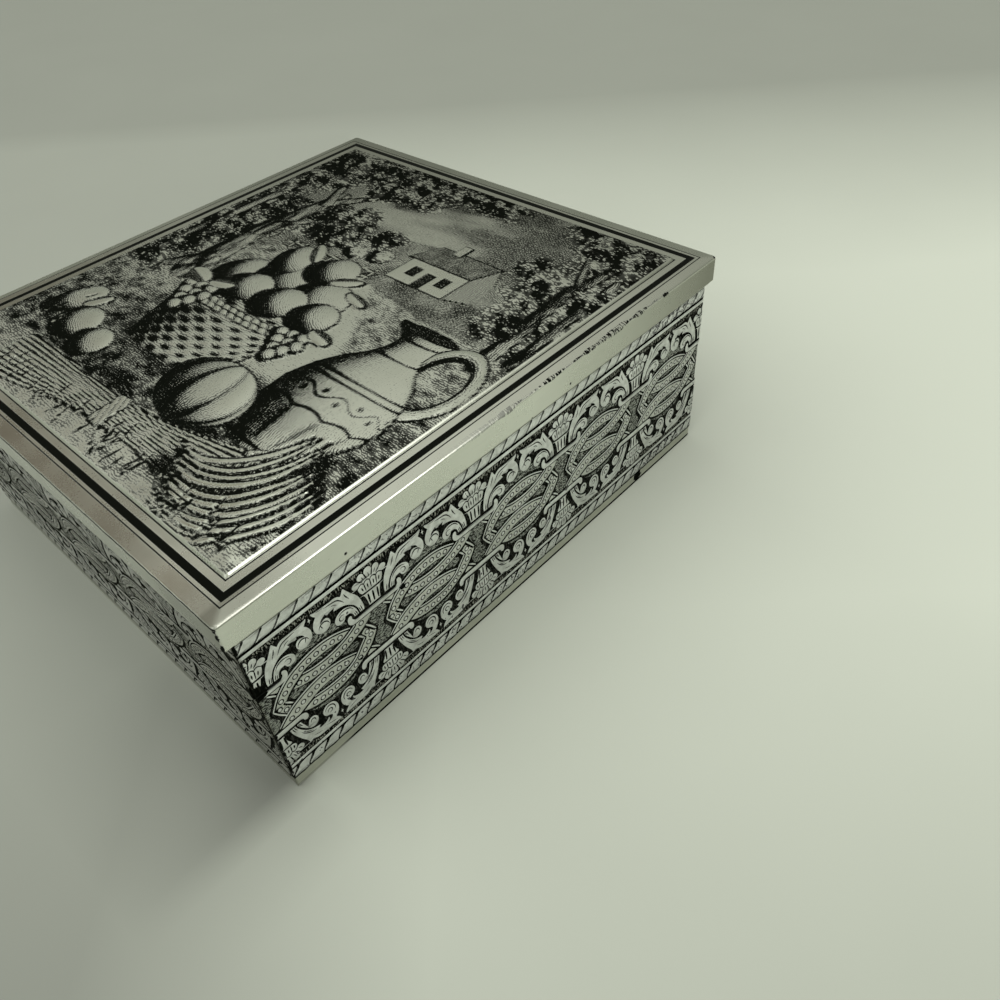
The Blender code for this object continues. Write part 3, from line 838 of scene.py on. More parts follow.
# %% Upper edges of the straps
KNOT_MIDDLE = 21.4          # the points below are measured from a palmette; this is the knot's middle
STRAP_A = [
    (2.2, 38.9), (3.1, 40.6), (4.2, 42.4), (5.4, 44), (6.8, 45.4), (8.4, 46.7), (10.2, 47.9), (12.2, 48.8),
    (14.5, 49.55), (17, 50.15), (19.5, 50.5), (22, 50.6), (24.5, 50.35), (27, 49.75), (29.3, 48.9),
    (31.2, 48), (32.5, 47.3),
]
STRAP_B = [
    (14.6, 44.75), (16.5, 44.15), (18.5, 43.75), (21, 43.5), (23.5, 43.5), (26, 43.8), (28, 44.25),
    (30, 44.9), (31.6, 45.65), (33, 46.4), (33.9, 46.95),
]
STRAP_C = [
    (2.2, 31), (3.4, 32.1), (4.8, 33.3), (6.4, 34.5), (8.2, 35.6), (10.2, 36.5), (12.4, 37.3),
    (14.8, 37.95), (17.3, 38.4), (19.8, 38.65), (22.2, 38.6), (24.6, 38.25), (27, 37.75), (29.2, 37.05),
    (31, 36.3), (32.2, 35.7),
]
STRAP_E = [
    (15.4, 32.35), (17.5, 31.9), (20, 31.5), (22.5, 31.35), (25, 31.4), (27, 31.7), (28.8, 32.3),
    (30.4, 33.1), (31.8, 34.2), (33, 35.6), (34.2, 37), (35.3, 38.2), (35.9, 39),
]
UPPER_EDGES = (STRAP_A, STRAP_B, STRAP_C, STRAP_E)
print("upper edges of", len(UPPER_EDGES), "straps")

# %% Lower edges of the straps
BELOW_A = [
    (31, 46.25), (30, 45.65), (28.8, 45.2), (27.3, 45.25), (25.5, 45.7), (23, 45.95), (20.5, 46),
    (18, 45.9), (16, 45.6), (14.6, 45.1), (13.4, 44.3), (12.2, 43.6), (11, 42.9), (10, 42.15), (9, 41.3),
    (8.1, 40.4), (7.2, 39.4), (7.2, 39.4),
]
ARM_D = [(6, 38.9), (8.1, 36.3), (8.1, 36.3), (7.4, 35.5), (6, 34.6), (6, 34.6), (4.6, 36.4),
         (3.2, 38.75), (3.2, 38.75)]
BELOW_B = [
    (34.6, 46.75), (34.6, 46.75), (40.3, 46.75), (40.3, 46.75), (39.9, 45.9), (38.8, 44.6), (37.3, 43.5),
    (35.5, 42.45), (33.5, 41.6), (31.5, 40.85), (29.5, 40.2), (27, 39.65), (24.5, 39.35), (22, 39.2),
    (19.5, 39.2), (17, 39.35), (15, 39.7), (13.2, 40.2), (11.6, 40.8), (10.2, 41.45), (10.2, 41.45),
    (11.3, 42.2), (12.4, 42.9), (13.3, 43.65), (13.3, 43.65),
]
BELOW_C = [
    (31.6, 34.75), (30.5, 33.85), (29.3, 33.25), (28.2, 33), (26.8, 33.1), (25, 33.3), (22.5, 33.4),
    (20, 33.35), (17.8, 33.1), (15.8, 32.6), (13.8, 31.8), (12, 31.1), (10.3, 30.35), (9.3, 29.95),
    (9.3, 29.95), (3.2, 29.95), (3.2, 29.95),
]
BELOW_E = [
    (35.4, 41.1), (35.4, 41.1), (36.3, 41.9), (37.1, 42.4), (37.1, 42.4), (38.2, 41), (39.9, 38.6),
    (39.9, 38.6), (40.6, 38.4), (40.2, 37.3), (39.4, 36.1), (38.4, 34.7), (37.2, 33.3), (35.8, 32.15),
    (34, 30.95), (32, 29.75), (30, 28.75), (28, 27.95), (26, 27.4), (24, 27.1), (22, 27), (20, 26.95),
    (18, 27.1), (16, 27.5), (14, 28.1), (12.2, 28.9), (10.8, 29.9), (10.8, 29.9), (12, 30.4), (13.5, 31),
    (15, 31.4), (15, 31.4),
]
STRAP_END_TOP = [(3.6, 46.75), (3.6, 46.75), (7.2, 46.75), (7.2, 46.75), (6.6, 45.8), (5.7, 45), (5.7, 45)]
STRAP_END_LOW = [(35.3, 30.35), (35.3, 30.35), (36, 31.4), (36.9, 32.2), (36.9, 32.2), (37.5, 31.9),
                 (39.1, 30.3), (39.1, 30.3)]
LOWER_EDGES = (BELOW_A + ARM_D, BELOW_B, BELOW_C, BELOW_E)
print("lower edges of", len(LOWER_EDGES), "straps, and two ends that pass below")

# %% Knots
RIM, LINE, BODY = 0.33, 0.80, 1.02   # rim, dark line and body of a strap, from its upper edge


def along_straps(offset, width, tip, arms, arm_width, arm_tip):
    """Strokes beside the upper edge of each strap, and along the arms that pass below."""
    strokes = [(beside(smooth_line(edge, 2), offset), width, tip) for edge in UPPER_EDGES]
    return strokes + smoothed([(arm, arm_width, arm_tip) for arm in arms], 2)


knot_loops = [
    beside(smooth_line(upper, 2), BODY) + open_outline(lower)
    for upper, lower in zip(UPPER_EDGES, LOWER_EDGES)
]
knot_loops += [open_outline(STRAP_END_TOP), open_outline(STRAP_END_LOW)]
straps = raised("straps", knot_loops, 0.16, ((0.08, 0.08), (0.12, 0.03)), strap_finish)
arm_rims = [
    [(2.55, 38.6), (4, 36.2), (5.75, 33.7)],
    [(6.75, 39.1), (7.8, 37.9), (8.75, 36.75)],
    [(34.25, 41.15), (35.1, 40.2), (35.8, 39.1)],
    [(37.65, 43.35), (39.2, 41.2), (40.6, 38.9)],
    [(2.65, 46.5), (3.9, 45.4), (5.1, 44.3)],
    [(37.6, 32.7), (39, 31.6), (40.3, 30.3)],
]
rims = stroked("rims", along_straps(RIM, 0.62, 0.4, arm_rims, 0.62, 0.4), 0.20,
               flat=0.34, round_steps=1, finish=silver_finish)
arm_lines = [
    [(3.1, 38.4), (4.5, 36.2), (5.95, 34.3)],
    [(5.95, 39), (7, 37.7), (8.2, 36.2)],
    [(35, 41.2), (35.9, 39.9), (36.7, 38.5)],
    [(37.15, 42.6), (38.5, 40.8), (39.95, 38.5)],
]
strap_ink = stroked("strap_ink", along_straps(LINE, 0.44, 0.26, arm_lines, 0.40, 0.2), 0.24, flat=0.5)
STAR = [(0, 1.15), (0, 1.15), (0.15, 0.35), (0.5, 0), (0.5, 0), (0.15, -0.35), (0, -1.15), (0, -1.15),
        (-0.15, -0.35), (-0.5, 0), (-0.5, 0), (-0.15, 0.35)]
star_loops = [
    outline([(KNOT_MIDDLE + x + shift, y + level) for x, y in STAR], 1)
    for level, shift in ((61.2, 0.0), (16.5, LOWER_SHIFT))
]
stars = raised("stars", star_loops, 0.16, ((0.06, 0.04),))
knots = joined("knots", [straps, rims, stars])
print("knots:", triangles(knots), "triangles each")

# %% Beads
BEADS = [
    (4.5, 38.1), (6.3, 36.2), (5.7, 40.7), (7.7, 42.6), (9.8, 44.3), (12.1, 45.7), (14.6, 46.8),
    (17.3, 47.5), (20.1, 47.8), (22.9, 47.7), (25.8, 47.3), (28.5, 46.6), (12.6, 42.2), (15, 41.4),
    (17.8, 40.9), (20.6, 40.7), (23.5, 40.7), (26.2, 41), (29, 41.7), (31.5, 42.5), (34.2, 43.8),
    (36.3, 45.5), (6.7, 31.1), (9.1, 32.5), (11.6, 33.8), (14.2, 34.5), (17, 35.2), (19.6, 35.6),
    (22.4, 35.5), (25.3, 35.1), (28.1, 34.5), (14.9, 29.7), (17.6, 28.9), (20.3, 28.6), (22.9, 28.7),
    (25.6, 29.1), (28.1, 29.7), (30.8, 30.7), (32.9, 32.2), (35.1, 33.8), (37, 35.8), (38.4, 38),
    (37.4, 40.4),
]


def bead_copies(name, model, finish):
    """One copy of the model at each bead's place."""
    model.data.materials.append(finish)
    copies = [copy_of(model) for _ in BEADS]
    for made, (x, y) in zip(copies, BEADS):
        made.data.transform(Matrix.Translation((x, y, 0)))
    drop(model)
    return joined(name, copies)


bpy.ops.mesh.primitive_cone_add(
    vertices=12, radius1=1.02, radius2=0.97, depth=0.03, location=(0, 0, 0.30), end_fill_type="NGON"
)
bpy.ops.object.transform_apply(location=True)
rings = bead_copies("rings", bpy.context.object, ink_finish)
bpy.ops.mesh.primitive_uv_sphere_add(segments=10, ring_count=6, radius=0.66, location=(0, 0, 0))
bead = bpy.context.object
with editing(bead):
    bpy.ops.mesh.bisect(plane_co=(0, 0, 0), plane_no=(0, 0, 1), clear_inner=True, use_fill=True)
    bpy.ops.mesh.select_all(action="SELECT")
    bpy.ops.transform.resize(value=(1, 1.05, 0.28), center_override=(0, 0, 0))
    bpy.ops.transform.translate(value=(-0.03, 0.03, 0.31))
beads = bead_copies("beads", bead, silver_finish)
print("beads:", len(BEADS), "in a knot,", triangles(beads), "triangles")

# %% [markdown]
# ### Stippled ground
# Between the straps the black ground is broken by a leaning stipple, which looks grey. Each such
# place is a very thin plate with its own finish.

# %% Stippled patches
HOURGLASS = [
    (0, 46.6), (1.9, 46.5), (3.3, 44.9), (3.4, 43.6), (2.6, 41.6), (1.5, 39.7), (1.1, 38.5), (1.4, 37.1),
    (2.5, 35.4), (3.2, 33.8), (2.8, 32), (1.5, 30.3), (0, 30.2),
]
KNOT_PATCHES = [
    [(8.6, 39.6), (9.5, 40.5), (10.3, 40.9), (12, 40.1), (14, 39.3), (15.2, 38.9), (13.5, 38.3),
     (11.6, 37.7),
     (9.9, 37.2), (9.1, 38.2)],
    [(27.3, 38.7), (29.5, 39.4), (31.2, 40.1), (32.6, 40.2), (33.6, 39.4), (33.9, 38.5), (33.2, 37.6),
     (32, 36.9), (30.6, 37.5), (29, 38.1)],
    [(16.5, 44.9), (19, 44.5), (22, 44.35), (25, 44.5), (27, 44.85), (25.5, 45.2), (22, 45.4), (19, 45.35)],
    [(17, 32.45), (20, 32.1), (23, 32), (26, 32.15), (27.6, 32.4), (26, 32.65), (23, 32.85), (20, 32.8)],
    [(11, 49.2), (13, 50.2), (16, 50.9), (21.4, 51.3), (26, 50.9), (29, 50.2), (31.8, 49.2), (31.5, 50.8),
     (29.5, 52.6), (27, 54), (24, 54.6), (21.4, 56.2), (19, 54.6), (16, 54), (13.3, 52.6), (11.3, 50.8)],
    [(12.5, 27.4), (16, 26.3), (21.4, 25.8), (27, 26.3), (30.5, 27.4), (29, 25.9), (25, 24.9), (21.4, 24.2),
     (18, 24.9), (14, 25.9)],
]
hourglasses = raised("hourglasses", [outline(both_ways(HOURGLASS))], 0.05, (), stipple_finish)
patch_loops = [outline(shape) for shape in KNOT_PATCHES]
knot_patches = raised("knot_patches", patch_loops, 0.05, (), stipple_finish)
print("stippled patches:", triangles(hourglasses) + triangles(knot_patches), "triangles")

# %% [markdown]
# ### Rope borders
# A twisted rope runs above and below the frieze. One plump strand is drawn for each border and
# repeated along it. Narrow gaps between the strands show the black ground.

# %% Rope strands
ROPE_PITCH = 5.84
STRAND_TOP = [
    (1.7, 67.62), (2.7, 68.05), (3.75, 69), (4.6, 70.1), (5.35, 71), (5.9, 71.35), (9, 71.35),
    (11.05, 71.3), (10.8, 70.9), (10.05, 69.8), (9.25, 68.8), (8.3, 67.95), (7.3, 67.6), (5, 67.75),
]
STRAND_LOW = [
    (6.45, 5.75), (6.3, 6.2), (7.3, 7.2), (8.4, 8.3), (8.95, 9.2), (9.9, 9.65), (11.8, 9.95), (13.5, 9.95),
    (14.1, 9.5), (13.9, 8.7), (13.1, 7.5), (12.3, 6.2), (11.6, 5.5), (8.5, 5.4),
]
strand_top = raised("strand_top", [outline(STRAND_TOP, 1)], 0.12, ((0.16, 0.07), (0.3, 0.05)))
strand_low = raised("strand_low", [outline(STRAND_LOW, 1)], 0.16, ((0.26, 0.05), (0.4, 0.04)))
ROPE_INK_TOP = [
    ([(5.65, 71.4), (5.1, 70.6), (4.3, 69.5), (3.4, 68.5), (2.4, 67.85), (1.2, 67.55)], 0.26, 0.2),
    ([(5.8, 71.3), (5.35, 70.8), (4.8, 70.1)], 0.5, 0.2),
    ([(1, 67.55), (2.4, 67.7), (4, 67.45), (5.6, 67.5), (6.9, 67.55)], 0.34, 0.34),
]
ROPE_INK_LOW = [
    ([(8.5, 10.1), (7.85, 9.2), (7.05, 8), (6.3, 6.9), (5.8, 5.7)], 0.56, 0.4),
    ([(8.9, 10.2), (8.2, 9.6), (7.7, 8.8)], 0.8, 0.3),
    ([(5.6, 5.3), (7.3, 5.6), (9.2, 5.2), (11.5, 5.35)], 0.42, 0.42),
    ([(8, 10.1), (9.6, 10.1), (11, 10.25), (13.8, 10.15)], 0.3, 0.3),
]
strand_top_ink = stroked("strand_top_ink", smoothed(ROPE_INK_TOP, 2), 0.25)
strand_low_ink = stroked("strand_low_ink", smoothed(ROPE_INK_LOW, 2), 0.27)
print("strands:", triangles(strand_top), "and", triangles(strand_low), "triangles")

# %% [markdown]
# ## Repeating and bending the strips
# Array modifiers repeat each drawing along the wall, and a mirrored copy turns the leaves round. The
# strip's ends are cut off at the corners. Narrow cuts near a bent corner give the strip edges to
# bend at, and then each point is moved from the flat strip to the wall. The two walls of one sheet
# are made and turned half round for the other sheet.

# %% Lengths of the strips
BEND = BODY_RADIUS * pi / 4                   # half of a bent corner, along the wall
SIDE_LENGTH = 2 * HALF_DEPTH - BODY_RADIUS + BEND
BACK_LENGTH = BEND + 2 * HALF_WIDTH - BODY_RADIUS - LAP_EDGE
SIDE_PITCH = SIDE_LENGTH / 5
BACK_PITCH = (BACK_LENGTH + LAP_EDGE) / 5
BEND_CUTS = 3                                 # cuts near a bent corner
LOWER_TOP = 30                                # the lower register lies below this height
print(f"side strip {SIDE_LENGTH:.1f} mm, back strip {BACK_LENGTH:.1f} mm")


# %% Repeat and cut
def scaled_copy(piece, width):
    """A copy with its widths scaled from the middle line; a width below 0 turns it round."""
    made = copy_of(piece)
    with editing(made):
        bpy.ops.transform.resize(value=(width, 1, 1), center_override=(0, 0, 0))
    return made


def repeat(piece, count, pitch, start=0.0):
    """The piece itself, moved to its start and repeated along the wall."""
    with editing(piece):
        bpy.ops.transform.translate(value=(start, 0, 0))
    modify(piece, "ARRAY", count=count, use_relative_offset=False, use_constant_offset=True,
           constant_offset_displace=(pitch, 0, 0))
    return piece


def cut(piece, place, clear=None):
    """Cuts the strip across at a place, and clears what lies before or after it."""
    with editing(piece):
        bpy.ops.mesh.bisect(
            plane_co=(place, 0, 0), plane_no=(1, 0, 0), threshold=0.0005,
            use_fill=clear is not None, clear_inner=clear == "before", clear_outer=clear == "after",
        )


print("repeat and cut ready")


# %% Bend round the tin
def points_of(piece):
    flat = np.empty(len(piece.data.vertices) * 3)
    piece.data.vertices.foreach_get("co", flat)
    return flat.reshape(-1, 3)


def move_points(piece, places):
    piece.data.vertices.foreach_set("co", np.asarray(places).ravel())
    piece.data.update()


def bend_round(piece, wall):
    """Moves every point of a flat strip to the side wall or the back wall."""
    along, up, out = points_of(piece).T
    if wall == "side":
        straight = 2 * HALF_DEPTH - BODY_RADIUS
        angle = np.clip(along - straight, 0, None) / BODY_RADIUS
        x = HALF_WIDTH - BODY_RADIUS + (BODY_RADIUS + out) * np.cos(angle)
        y = -HALF_DEPTH + np.minimum(along, straight) + (BODY_RADIUS + out) * np.sin(angle)
    else:
        angle = pi / 4 + np.clip(along, 0, BEND) / BODY_RADIUS
        run = np.clip(along - BEND, 0, None)
        x = HALF_WIDTH - BODY_RADIUS + (BODY_RADIUS + out) * np.cos(angle) - run
        y = HALF_DEPTH - BODY_RADIUS + (BODY_RADIUS + out) * np.sin(angle)
    move_points(piece, np.stack([x, y + BODY_Y, up], axis=1) * MM)


def half_turn(piece):
    """A copy of the piece on the opposite wall."""
    made = copy_of(piece)
    move_points(made, points_of(made) * (-1, -1, 1) + (0, 2 * BODY_Y * MM, 0))
    return made


print("bend ready")

# %% [markdown]
# Each kind of drawing has its own way to become a strip. The leaves are drawn for one side only, so
# a turned copy makes the pair. Palmettes and bars stand on the line between two repeats, knots stand
# between two palmettes, and the ropes run on with a pitch of their own.


# %% From drawings to strips
def leaf_strip(source, length, pitch):
    half, turned = [scaled_copy(source, width * pitch / PITCH) for width in (1, -1)]
    with editing(turned):
        bpy.ops.transform.translate(value=(pitch, 0, 0))
        bpy.ops.mesh.normals_make_consistent(inside=False)
    return repeat(joined("pair", [half, turned]), 5, pitch)


def centred_strip(source, length, pitch):
    return repeat(scaled_copy(source, pitch / PITCH), 6, pitch)


def knot_strip(source, length, pitch):
    start = (PITCH / 2 - KNOT_MIDDLE) * pitch / PITCH
    return repeat(scaled_copy(source, pitch / PITCH), 5, pitch, start)


def rope_strip(source, length, pitch, start=0.0):
    count = int(length / ROPE_PITCH) + 4
    return repeat(copy_of(source), count, ROPE_PITCH, start - 2 * ROPE_PITCH)


def upper_rope(source, length, pitch):
    return rope_strip(source, length, pitch, 2.9)


def moulding_strip(levels, length, pitch):
    low, high = levels
    loop = [(-1.0, low), (length + 1.0, low), (length + 1.0, high), (-1.0, high)]
    return raised("moulding", [loop], 0.14, ((0.2, 0.12), (0.2, 0.04)))


print("strips ready")


# %% All strips, on all walls
def all_round(name, make_strip, source, angle=40, shift=0.0):
    """The source's strip on all four walls, as one piece; the lower register is moved by shift."""
    walls = []
    for wall, length, pitch in (("side", SIDE_LENGTH, SIDE_PITCH), ("back", BACK_LENGTH, BACK_PITCH)):
        strip = make_strip(source, length, pitch)
        if shift:
            select_faces(strip, lambda face: face.center.y < LOWER_TOP)
            bpy.ops.transform.translate(value=(shift, 0, 0))
            bpy.ops.object.mode_set(mode="OBJECT")
        cut(strip, 0.0, "before")
        cut(strip, length, "after")
        for i in range(BEND_CUTS):
            near_start, near_end = BEND * (i + 1) / BEND_CUTS, length - BEND + BEND * i / BEND_CUTS
            cut(strip, near_start if wall == "back" else near_end)
        bend_round(strip, wall)
        walls += [strip, half_turn(strip)]
    piece = joined(name, walls)
    with editing(piece):
        bpy.ops.mesh.remove_doubles(threshold=0.000001)
    bpy.ops.object.shade_smooth_by_angle(angle=radians(angle))
    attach(piece, "tin_body")
    print(name, triangles(piece), "triangles")


STRIPS = [
    ("frieze_leaves", leaf_strip, leaves, 40, LOWER_SHIFT),
    ("frieze_palmettes", centred_strip, palmettes, 40, LOWER_SHIFT),
    ("frieze_bars", centred_strip, bars, 40, LOWER_SHIFT),
    ("frieze_knots", knot_strip, knots, 40, 0.0),
    ("frieze_beads", knot_strip, beads, 70, 0.0),
    ("frieze_bead_rings", knot_strip, rings, 40, 0.0),
    ("frieze_knot_lines", knot_strip, strap_ink, 40, 0.0),
    ("frieze_leaf_lines", leaf_strip, leaf_ink, 40, LOWER_SHIFT),
    ("frieze_palmette_lines", centred_strip, palmette_ink, 40, LOWER_SHIFT),
    ("frieze_hourglasses", centred_strip, hourglasses, 40, 0.0),
    ("frieze_patches", knot_strip, knot_patches, 40, 0.0),
    ("rope_upper", upper_rope, strand_top, 60, 0.0),
    ("rope_lower", rope_strip, strand_low, 60, 0.0),
    ("rope_upper_lines", upper_rope, strand_top_ink, 40, 0.0),
    ("rope_lower_lines", rope_strip, strand_low_ink, 40, 0.0),
]
for name, make_strip, source, angle, shift in STRIPS:
    all_round(name, make_strip, source, angle, shift)
    drop(source)

# %% [markdown]
# ### Mouldings
# Two plain raised lines frame the frieze.

# %% Mouldings
all_round("moulding_upper", moulding_strip, (65.3, 66.65))
all_round("moulding_lower", moulding_strip, (10.6, 11.9))

# %% [markdown]
# ## Walls
# Inside, the plate is bare. Outside it is printed: silver at the foot and under the lid, and black
# behind the frieze and the ropes, where the silver lies raised above it. A leaning fleck breaks the
# black along the upper and lower edge of the frieze.

# %% Wall print
walls_finish, shader, point = new_finish("printed_walls")
outline_sizes = {"Half X": HALF_WIDTH, "Half Y": HALF_DEPTH, "Middle Y": BODY_Y, "Radius": BODY_RADIUS}
away = use(plan, point, {key: value * MM for key, value in outline_sizes.items()})[0]
outer = ramp(away, -0.2 * MM, -0.1 * MM)
up = axis(point, 2)
black = between(up, 4.75 * MM, 71.1 * MM)
# Painted shadow: a dark line along the wall's foot, the shade of the base's rolled seam, weaker towards the
# near corner.
painted_foot_shadow = times(fading(up, 1.2 * MM, 1.4 * MM), ramp(axis(point, 1), -92 * MM, -84 * MM, 0.35, 1.0))
flecks = noise(squeezed(point, (2600.0, 2600.0, 900.0), (radians(24), radians(24), 0)), 1.0, 1.0)
top_zone = between(up, 63.2 * MM, 65.1 * MM, 0.3 * MM)
low_zone = between(up, 12.0 * MM, 13.8 * MM, 0.3 * MM)
mid_zone = between(up, 14.0 * MM, 63.0 * MM, 0.3 * MM)
zone = most(top_zone, low_zone, times(mid_zone, 0.12))
light = times(ramp(flecks, 0.53, 0.61), times(zone, 0.5))
ink = times(most(black, painted_foot_shadow), minus(1.0, light))
ink = times(most(ink, blots(point)), outer)
# The walls' painted shade darkens this print as well.
plate_look(shader, point, ink, (0.60, 0.612, 0.53, 1), (0.50, 0.512, 0.44, 1), (0.3, 0.45),
           painted_shade_mask=wall_painted_shade(point))
for name in ("body_front_sheet", "body_rear_sheet"):
    coat(nodes[name], walls_finish)
print("wall print on both sheets")

# %% [markdown]
# ## Lid
# The lid's skirt and border are plain silver. A fine dark line, a black stripe and a silver band
# frame the raised picture. The lines are printed, so they are drawn in the material, at their
# distance from the lid's edge.

# %% Lid print
# How far each line of the frame lies inside the lid's right, left, front and back edge, in mm.
FINE_LINE = (3.8, 3.8, 4.8, 4.8)
STRIPE_OUTER = (5.22, 7.06, 6.22, 6.22)
STRIPE_INNER = (7.65, 9.36, 8.65, 8.65)
# The next row is a painted shadow: a dark line at the foot of the picture's raised step.
STEP_SHADOW_INSETS = (10.15, 13.05, 10.85, 11.45)
PICTURE_FOOT = (10.7, 13.6, 11.4, 12.0)
LID_NICKS = [((101, 76.6, 82.0), 0.5), ((101, 77.6, 82.1), 0.6), ((101, 78.7, 82.0), 0.4),
             ((100.8, 108.8, 82.3), 0.5), ((101.2, -69.9, 75.3), 0.35), ((101.2, 25.0, 75.1), 0.3),
             ((101.2, 6.0, 72.7), 0.4)]


def frame_distance(point, insets):
    """Distance inwards from a rectangle at these insets from the lid's edges; negative outside."""
    right, left, front, back = insets
    x = size_of(minus(axis(point, 0), (left - right) / 2 * MM))
    y = size_of(minus(axis(point, 1), (front - back) / 2 * MM))
    to_side = minus((LID_X - (right + left) / 2) * MM, x)
    to_end = minus((LID_Y - (front + back) / 2) * MM, y)
    return least(to_side, to_end)


def top_painted_shade(point, start=0.0):
    """Painted shade on the lid's top: darkest at the far left corner, lightest at the near right one."""
    return ramp(toward(point, (-0.514, 0.857, 0)), -94 * MM, 191 * MM, start, 1.0)


def bend_scratches(point):
    """Ragged upright scratches on the bend of the right side, densest on its far half."""
    x, y, z = [axis(point, number) for number in range(3)]
    down = minus(minus(x, z), (LID_X - LID_TOP) * MM)
    ticks = noise(squeezed(point, (500.0, 2000.0, 420.0), (radians(-30), 0, 0)), 1.0, 2.0)
    clusters = noise(point, 75.0, 2.0)
    reach = ramp(clusters, 0.42, 0.64, 0.15 * MM, 1.5 * MM)
    line = fading(minus(size_of(minus(down, 0.15 * MM)), reach), -0.1 * MM, 0.15 * MM)
    worn = times(ramp(ticks, 0.45, 0.51), times(line, ramp(clusters, 0.38, 0.46)))
    crease = times(between(down, 0.25 * MM, 0.55 * MM, 0.12 * MM), ramp(ticks, 0.36, 0.46))
    far_half = times(ramp(y, -30 * MM, 8 * MM), fading(y, 70 * MM, 78 * MM))
    return times(most(worn, times(crease, 0.85)), far_half, ramp(x, 97 * MM, 98 * MM))


def front_bend_reflection_and_seam(point):
    """A painted dark reflection: a thin ragged dark line along the bend of the front side. Also a ragged dark
    line down the near corner.
    """
    y, z = axis(point, 1), axis(point, 2)
    down = minus(times(plus(y, z), -1.0), (LID_Y - LID_TOP) * MM)
    ragged = roughened(down, noise(point, 260.0, 4.0), 0.8)
    line = between(ragged, 0.40 * MM, 1.10 * MM, 0.1 * MM)
    line = times(line, fading(y, (0.6 - LID_Y) * MM, (0.9 - LID_Y) * MM))
    seam = upright_seam(point, (LID_X, -LID_Y), 0.68, 1.6)
    return most(line, times(seam, fading(z, (LID_TOP - 1.6) * MM, (LID_TOP - 1.0) * MM)))


def lid_nicks(point):
    """Single dark nicks on the bend, the far right corner and the skirt."""
    return most(*[fading(gap_to(point, place), r * MM, (r + 0.3) * MM) for place, r in LID_NICKS])


lid_finish, shader, point = new_finish("printed_lid")
x, y = axis(point, 0), axis(point, 1)
fine = between(frame_distance(point, FINE_LINE), 0.0, 0.46 * MM)
# Painted shadow at the foot of the picture's step, on top faces like the printed lines.
painted_foot_shadow = between(frame_distance(point, STEP_SHADOW_INSETS), 0.0, 0.5 * MM)
stripe = times(ramp(frame_distance(point, STRIPE_OUTER), -0.06 * MM, 0.06 * MM),
               fading(frame_distance(point, STRIPE_INNER), -0.06 * MM, 0.06 * MM))
normal = point.node.outputs["Normal"]
facing_up = ramp(axis(normal, 2), 0.15, 0.25)
facing_front = fading(axis(normal, 1), -0.8, -0.5)
# Scratches and nicks are wear; the ragged line along the front bend is a painted dark reflection.
scratches_and_dark_reflection = most(bend_scratches(point), lid_nicks(point), front_bend_reflection_and_seam(point))
ink = most(times(most(fine, painted_foot_shadow, stripe), facing_up), scratches_and_dark_reflection)
# Painted shade and reflection: the right skirt darkens towards the back and the front skirt towards the
# right; the border darkens towards the far left and near the near right corner; a lighter patch on the front
# border is a painted highlight.
side_painted_shade = ramp(y, 5 * MM, 105 * MM, 0.22, 0.92)
skirt_painted_shade = blend_value(facing_front, side_painted_shade, ramp(x, 55 * MM, 100 * MM, 0.25, 0.65))
corner_painted_shade = times(ramp(y, -98 * MM, -78 * MM, 0.32, 0.0), ramp(x, 94 * MM, 96 * MM))
painted_highlight_patch = times(between(x, 72 * MM, 88 * MM, 5 * MM), fading(y, -97 * MM, -96 * MM))
border_painted_shade = minus(plus(top_painted_shade(point, 0.306), corner_painted_shade), times(painted_highlight_patch, 0.28))
plate_look(shader, point, ink, (0.88, 0.90, 0.82, 1), (0.81, 0.83, 0.75, 1),
           painted_shade_mask=blend_value(facing_up, skirt_painted_shade, border_painted_shade), shine=0.015)
coat(nodes["lid"], lid_finish)
print("lid print on the lid")

# %% [markdown]
# ## The lid's picture
# A press raised the picture and a plate printed it like an engraving, with tones made of fine dark
# strokes that follow each form. The picture is a plain harvest piece: fruit in a basket, a jug and
# a sheaf of wheat, with a tree, a cottage and hills behind.
#
# It is one fine grid. For every point of the grid the script works out how far the point is raised,
# how dark it is, and two distances that the strokes follow. The last three are kept as an attribute,
# and the material turns them into strokes and dots that are finer than the grid.

# %% The grid
foot_right, foot_left, foot_front, foot_back = PICTURE_FOOT
left_edge, right_edge = -LID_X + foot_left, LID_X - foot_right
front_edge, back_edge = -LID_Y + foot_front, LID_Y - foot_back
half_x, half_y = (right_edge - left_edge) / 2, (back_edge - front_edge) / 2
picture_middle = Vector(((left_edge + right_edge) / 2, (front_edge + back_edge) / 2, 0))
bpy.ops.object.select_all(action="DESELECT")
bpy.ops.mesh.primitive_grid_add(x_subdivisions=272, y_subdivisions=299, size=2)
picture = bpy.context.object
picture.name = "lid_picture"
with editing(picture):
    bpy.ops.transform.resize(value=(half_x, half_y, 1))
    bpy.ops.transform.translate(value=picture_middle)
X, Y, _ = points_of(picture).T
print("picture grid:", len(X), "points,", triangles(picture), "triangles")


# %% Helpers to draw on the grid
CLOUD_SPOTS = 97            # the noise of the clouds repeats after this many spots


def soft_step(value, low, high):
    t = np.clip((value - low) / (high - low), 0, 1)
    return t * t * (3 - 2 * t)


def bulge(q):
    """Height of a round form, 1 in the middle, where q runs from 0 there to 1 at its edge."""
    return np.sqrt(np.clip(1 - q**2, 0, 1))


